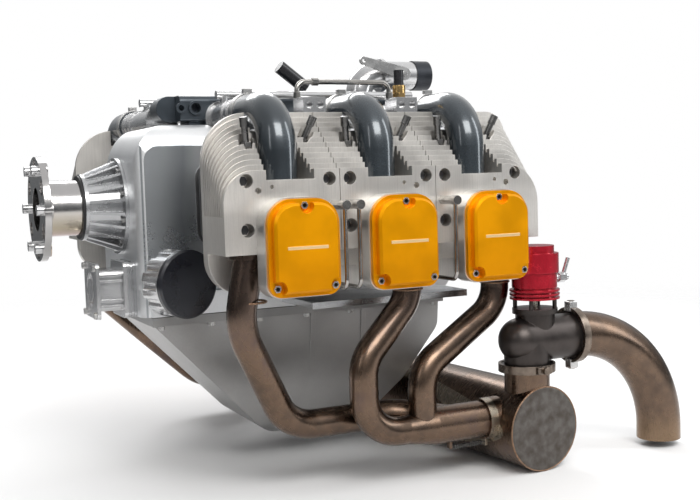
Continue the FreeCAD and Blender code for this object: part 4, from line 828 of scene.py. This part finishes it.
# %% Weld beads
PIPE_R = 0.019
FLANGE_T = 0.007
BEAD_R = 0.0016
BEAD_OFFSET = 0.0004
RIPPLE = 0.0034
RIPPLE_STEPS = 6
VALLEY_SHARE = 0.8
SCALE_SHARE = 0.25
BEAD_SIDES = 10
RIM_BEAD_R = 0.0012
UP = Vector((0.0, 0.0, 1.0))
PORT_BOTTOM = -0.112
PORT_Y = 0.270
NEAR_PORT_X = {"front": 0.209, "middle": 0.430, "rear": 0.567}


def bead(name, centre, radius, axis, thickness):
    """A ring with rippled thickness round a centre, across an axis."""
    ripples = round(2 * math.pi * radius / RIPPLE)
    steps = RIPPLE_STEPS * ripples
    path = turned_points(np.array([[radius, 0.0]]), centre, axis, steps)[0]
    section = thickness * (VALLEY_SHARE + SCALE_SHARE * np.abs(np.sin(ripples * around(steps) / 2)))
    points = tube_points(path, section, BEAD_SIDES, closed_path=True)
    grid_object(name, points, weld_metal, closed_path=True)


for side_name, sign, shift in BANKS:
    for place, x in NEAR_PORT_X.items():
        spot = (x - shift, sign * PORT_Y, PORT_BOTTOM - FLANGE_T)
        bead(f"bead_{side_name}_{place}", spot, PIPE_R + BEAD_OFFSET, UP, BEAD_R)
for side_name, (centre, out) in drum_ends.items():
    bead(f"rim_weld_{side_name}", centre, LID_R + BEAD_OFFSET, out, RIM_BEAD_R)
print("eight weld beads")

# %% [markdown]
# ## Studio
# A pale floor carries the shadow that sets the engine down. Studios bend their backdrop up into a wall.
# Here the floor turns clear with distance instead, so that no horizon shows against the white. It is clear
# from below too, so the sump can be seen from there.

# %% Floor
FLOOR_R = 3.2
FADE_START = 0.9
FADE_END = 2.4
FLOOR_GAP = 0.0005
FLOOR_SIDES = 96

ground = Finish("floor", (0.86, 0.86, 0.86), 0.0, 0.75)
speck = ground.noise(0.3, detail=2.0)
ground.put("Base Color", ground.mixed(speck, (0.84, 0.84, 0.845), (0.88, 0.88, 0.88)))
distance = ground.node("ShaderNodeVectorMath", {"operation": "LENGTH"}, (ground.place(),), "Value")
underside = ground.node("ShaderNodeNewGeometry", {}, {}, "Backfacing")
hidden = underside.most(distance.rise(FADE_START, FADE_END))
solid = Wire(ground, ground.surface.outputs["BSDF"])
clear = ground.node("ShaderNodeBsdfTransparent", {}, {})
blend = ground.node("ShaderNodeMixShader", {}, (hidden, solid, clear))
ground.feed(ground.tree.nodes["Material Output"].inputs["Surface"], blend)

rim_angle = around(FLOOR_SIDES)
rim = np.stack([FLOOR_R * np.cos(rim_angle), FLOOR_R * np.sin(rim_angle), 0 * rim_angle], axis=1)
floor_mesh = bpy.data.meshes.new("floor")
floor_mesh.from_pydata(rim.tolist(), [], [list(range(FLOOR_SIDES))])
floor_mesh.materials.append(ground.material)
floor = bpy.data.objects.new("floor", floor_mesh)
floor.location = ((cad_low.x + cad_high.x) / 2, 0, cad_low.z - FLOOR_GAP)
bpy.context.scene.collection.objects.link(floor)
print("round floor, clear beyond", FADE_END, "m")

# %% [markdown]
# ## Lights
# Small lamps or a sun would give the shapes, but polished metal shows the lamp itself, so broad boxes look
# better in it. Four of them face the middle of the engine. The main one stands high behind the camera. Two
# narrow strips, left and right, draw long highlights on the tubes, the right one a little cooler. The last
# one shines from behind over the far bank and parts the engine from the backdrop.

# %% Softboxes
ENGINE_MIDDLE = (cad_low + cad_high) / 2
WARM_WHITE = (1.0, 0.99, 0.97)
WHITE = (1.0, 1.0, 1.0)
COOL_WHITE = (0.95, 0.98, 1.0)


def softbox(name, where, width, height, power, colour):
    """Rectangular area light that faces the middle of the engine."""
    light = bpy.data.lights.new(name, "AREA")
    light.shape = "RECTANGLE"
    light.size = width
    light.size_y = height
    light.energy = power
    light.color = colour
    lamp = bpy.data.objects.new(name, light)
    lamp.location = where
    lamp.rotation_euler = (ENGINE_MIDDLE - Vector(where)).to_track_quat("-Z", "Y").to_euler()
    bpy.context.scene.collection.objects.link(lamp)


softbox("main_light", (0.2, -2.0, 1.5), width=1.5, height=1.0, power=38, colour=WARM_WHITE)
softbox("left_strip", (-1.6, -1.2, 0.9), width=0.25, height=1.2, power=3, colour=WHITE)
softbox("right_strip", (1.9, -1.1, 0.7), width=0.35, height=1.6, power=10, colour=COOL_WHITE)
softbox("back_light", (0.6, 1.7, 1.4), width=1.6, height=0.8, power=26, colour=WHITE)
print("four lights")

# %% [markdown]
# ## The room in the mirrors
# Round metal needs a room to mirror. Walls could be built of planes, but a gradient on the sky is smooth
# and quick: grey below, darkest at eye level and bright above, and darker ahead of the propeller than
# behind the engine. The camera itself sees plain white, which a mask of camera rays picks out.

# %% Room
SKY = [(0.25, (0.42, 0.42, 0.43)), (0.47, (0.14, 0.145, 0.15)), (0.58, (0.30, 0.31, 0.32)),
       (0.72, (0.95, 0.95, 0.95))]
FRONT_SHADE = {"From Min": -0.9, "From Max": 0.1, "To Min": 0.45, "To Max": 1.0}

world = bpy.data.worlds.new("studio")
bpy.context.scene.world = world
world.use_nodes = True
room = Graph(world.node_tree)
direction = room.node("ShaderNodeTexCoord", {}, {}, "Generated")
forward = room.node("ShaderNodeSeparateXYZ", {}, (direction,), "X")
upward = room.node("ShaderNodeSeparateXYZ", {}, (direction,), "Z")
gradient = room.ramp(upward * 0.5 + 0.5, SKY)
dimmed = room.node("ShaderNodeMapRange", {"interpolation_type": "SMOOTHSTEP"},
                   {"Value": forward, **FRONT_SHADE})
mirrored = room.node("ShaderNodeVectorMath", {"operation": "SCALE"}, {0: gradient, "Scale": dimmed})
seen = room.node("ShaderNodeLightPath", {}, {}, "Is Camera Ray")
seen_through = room.node("ShaderNodeLightPath", {}, {}, "Is Transmission Ray")
background = world.node_tree.nodes["Background"]
room.feed(background.inputs["Color"], room.mixed(seen.most(seen_through), mirrored, WHITE))
background.inputs["Strength"].default_value = 1.0
bpy.context.scene.view_settings.view_transform = "Standard"
print("room with", len(SKY), "tones")

# %% [markdown]
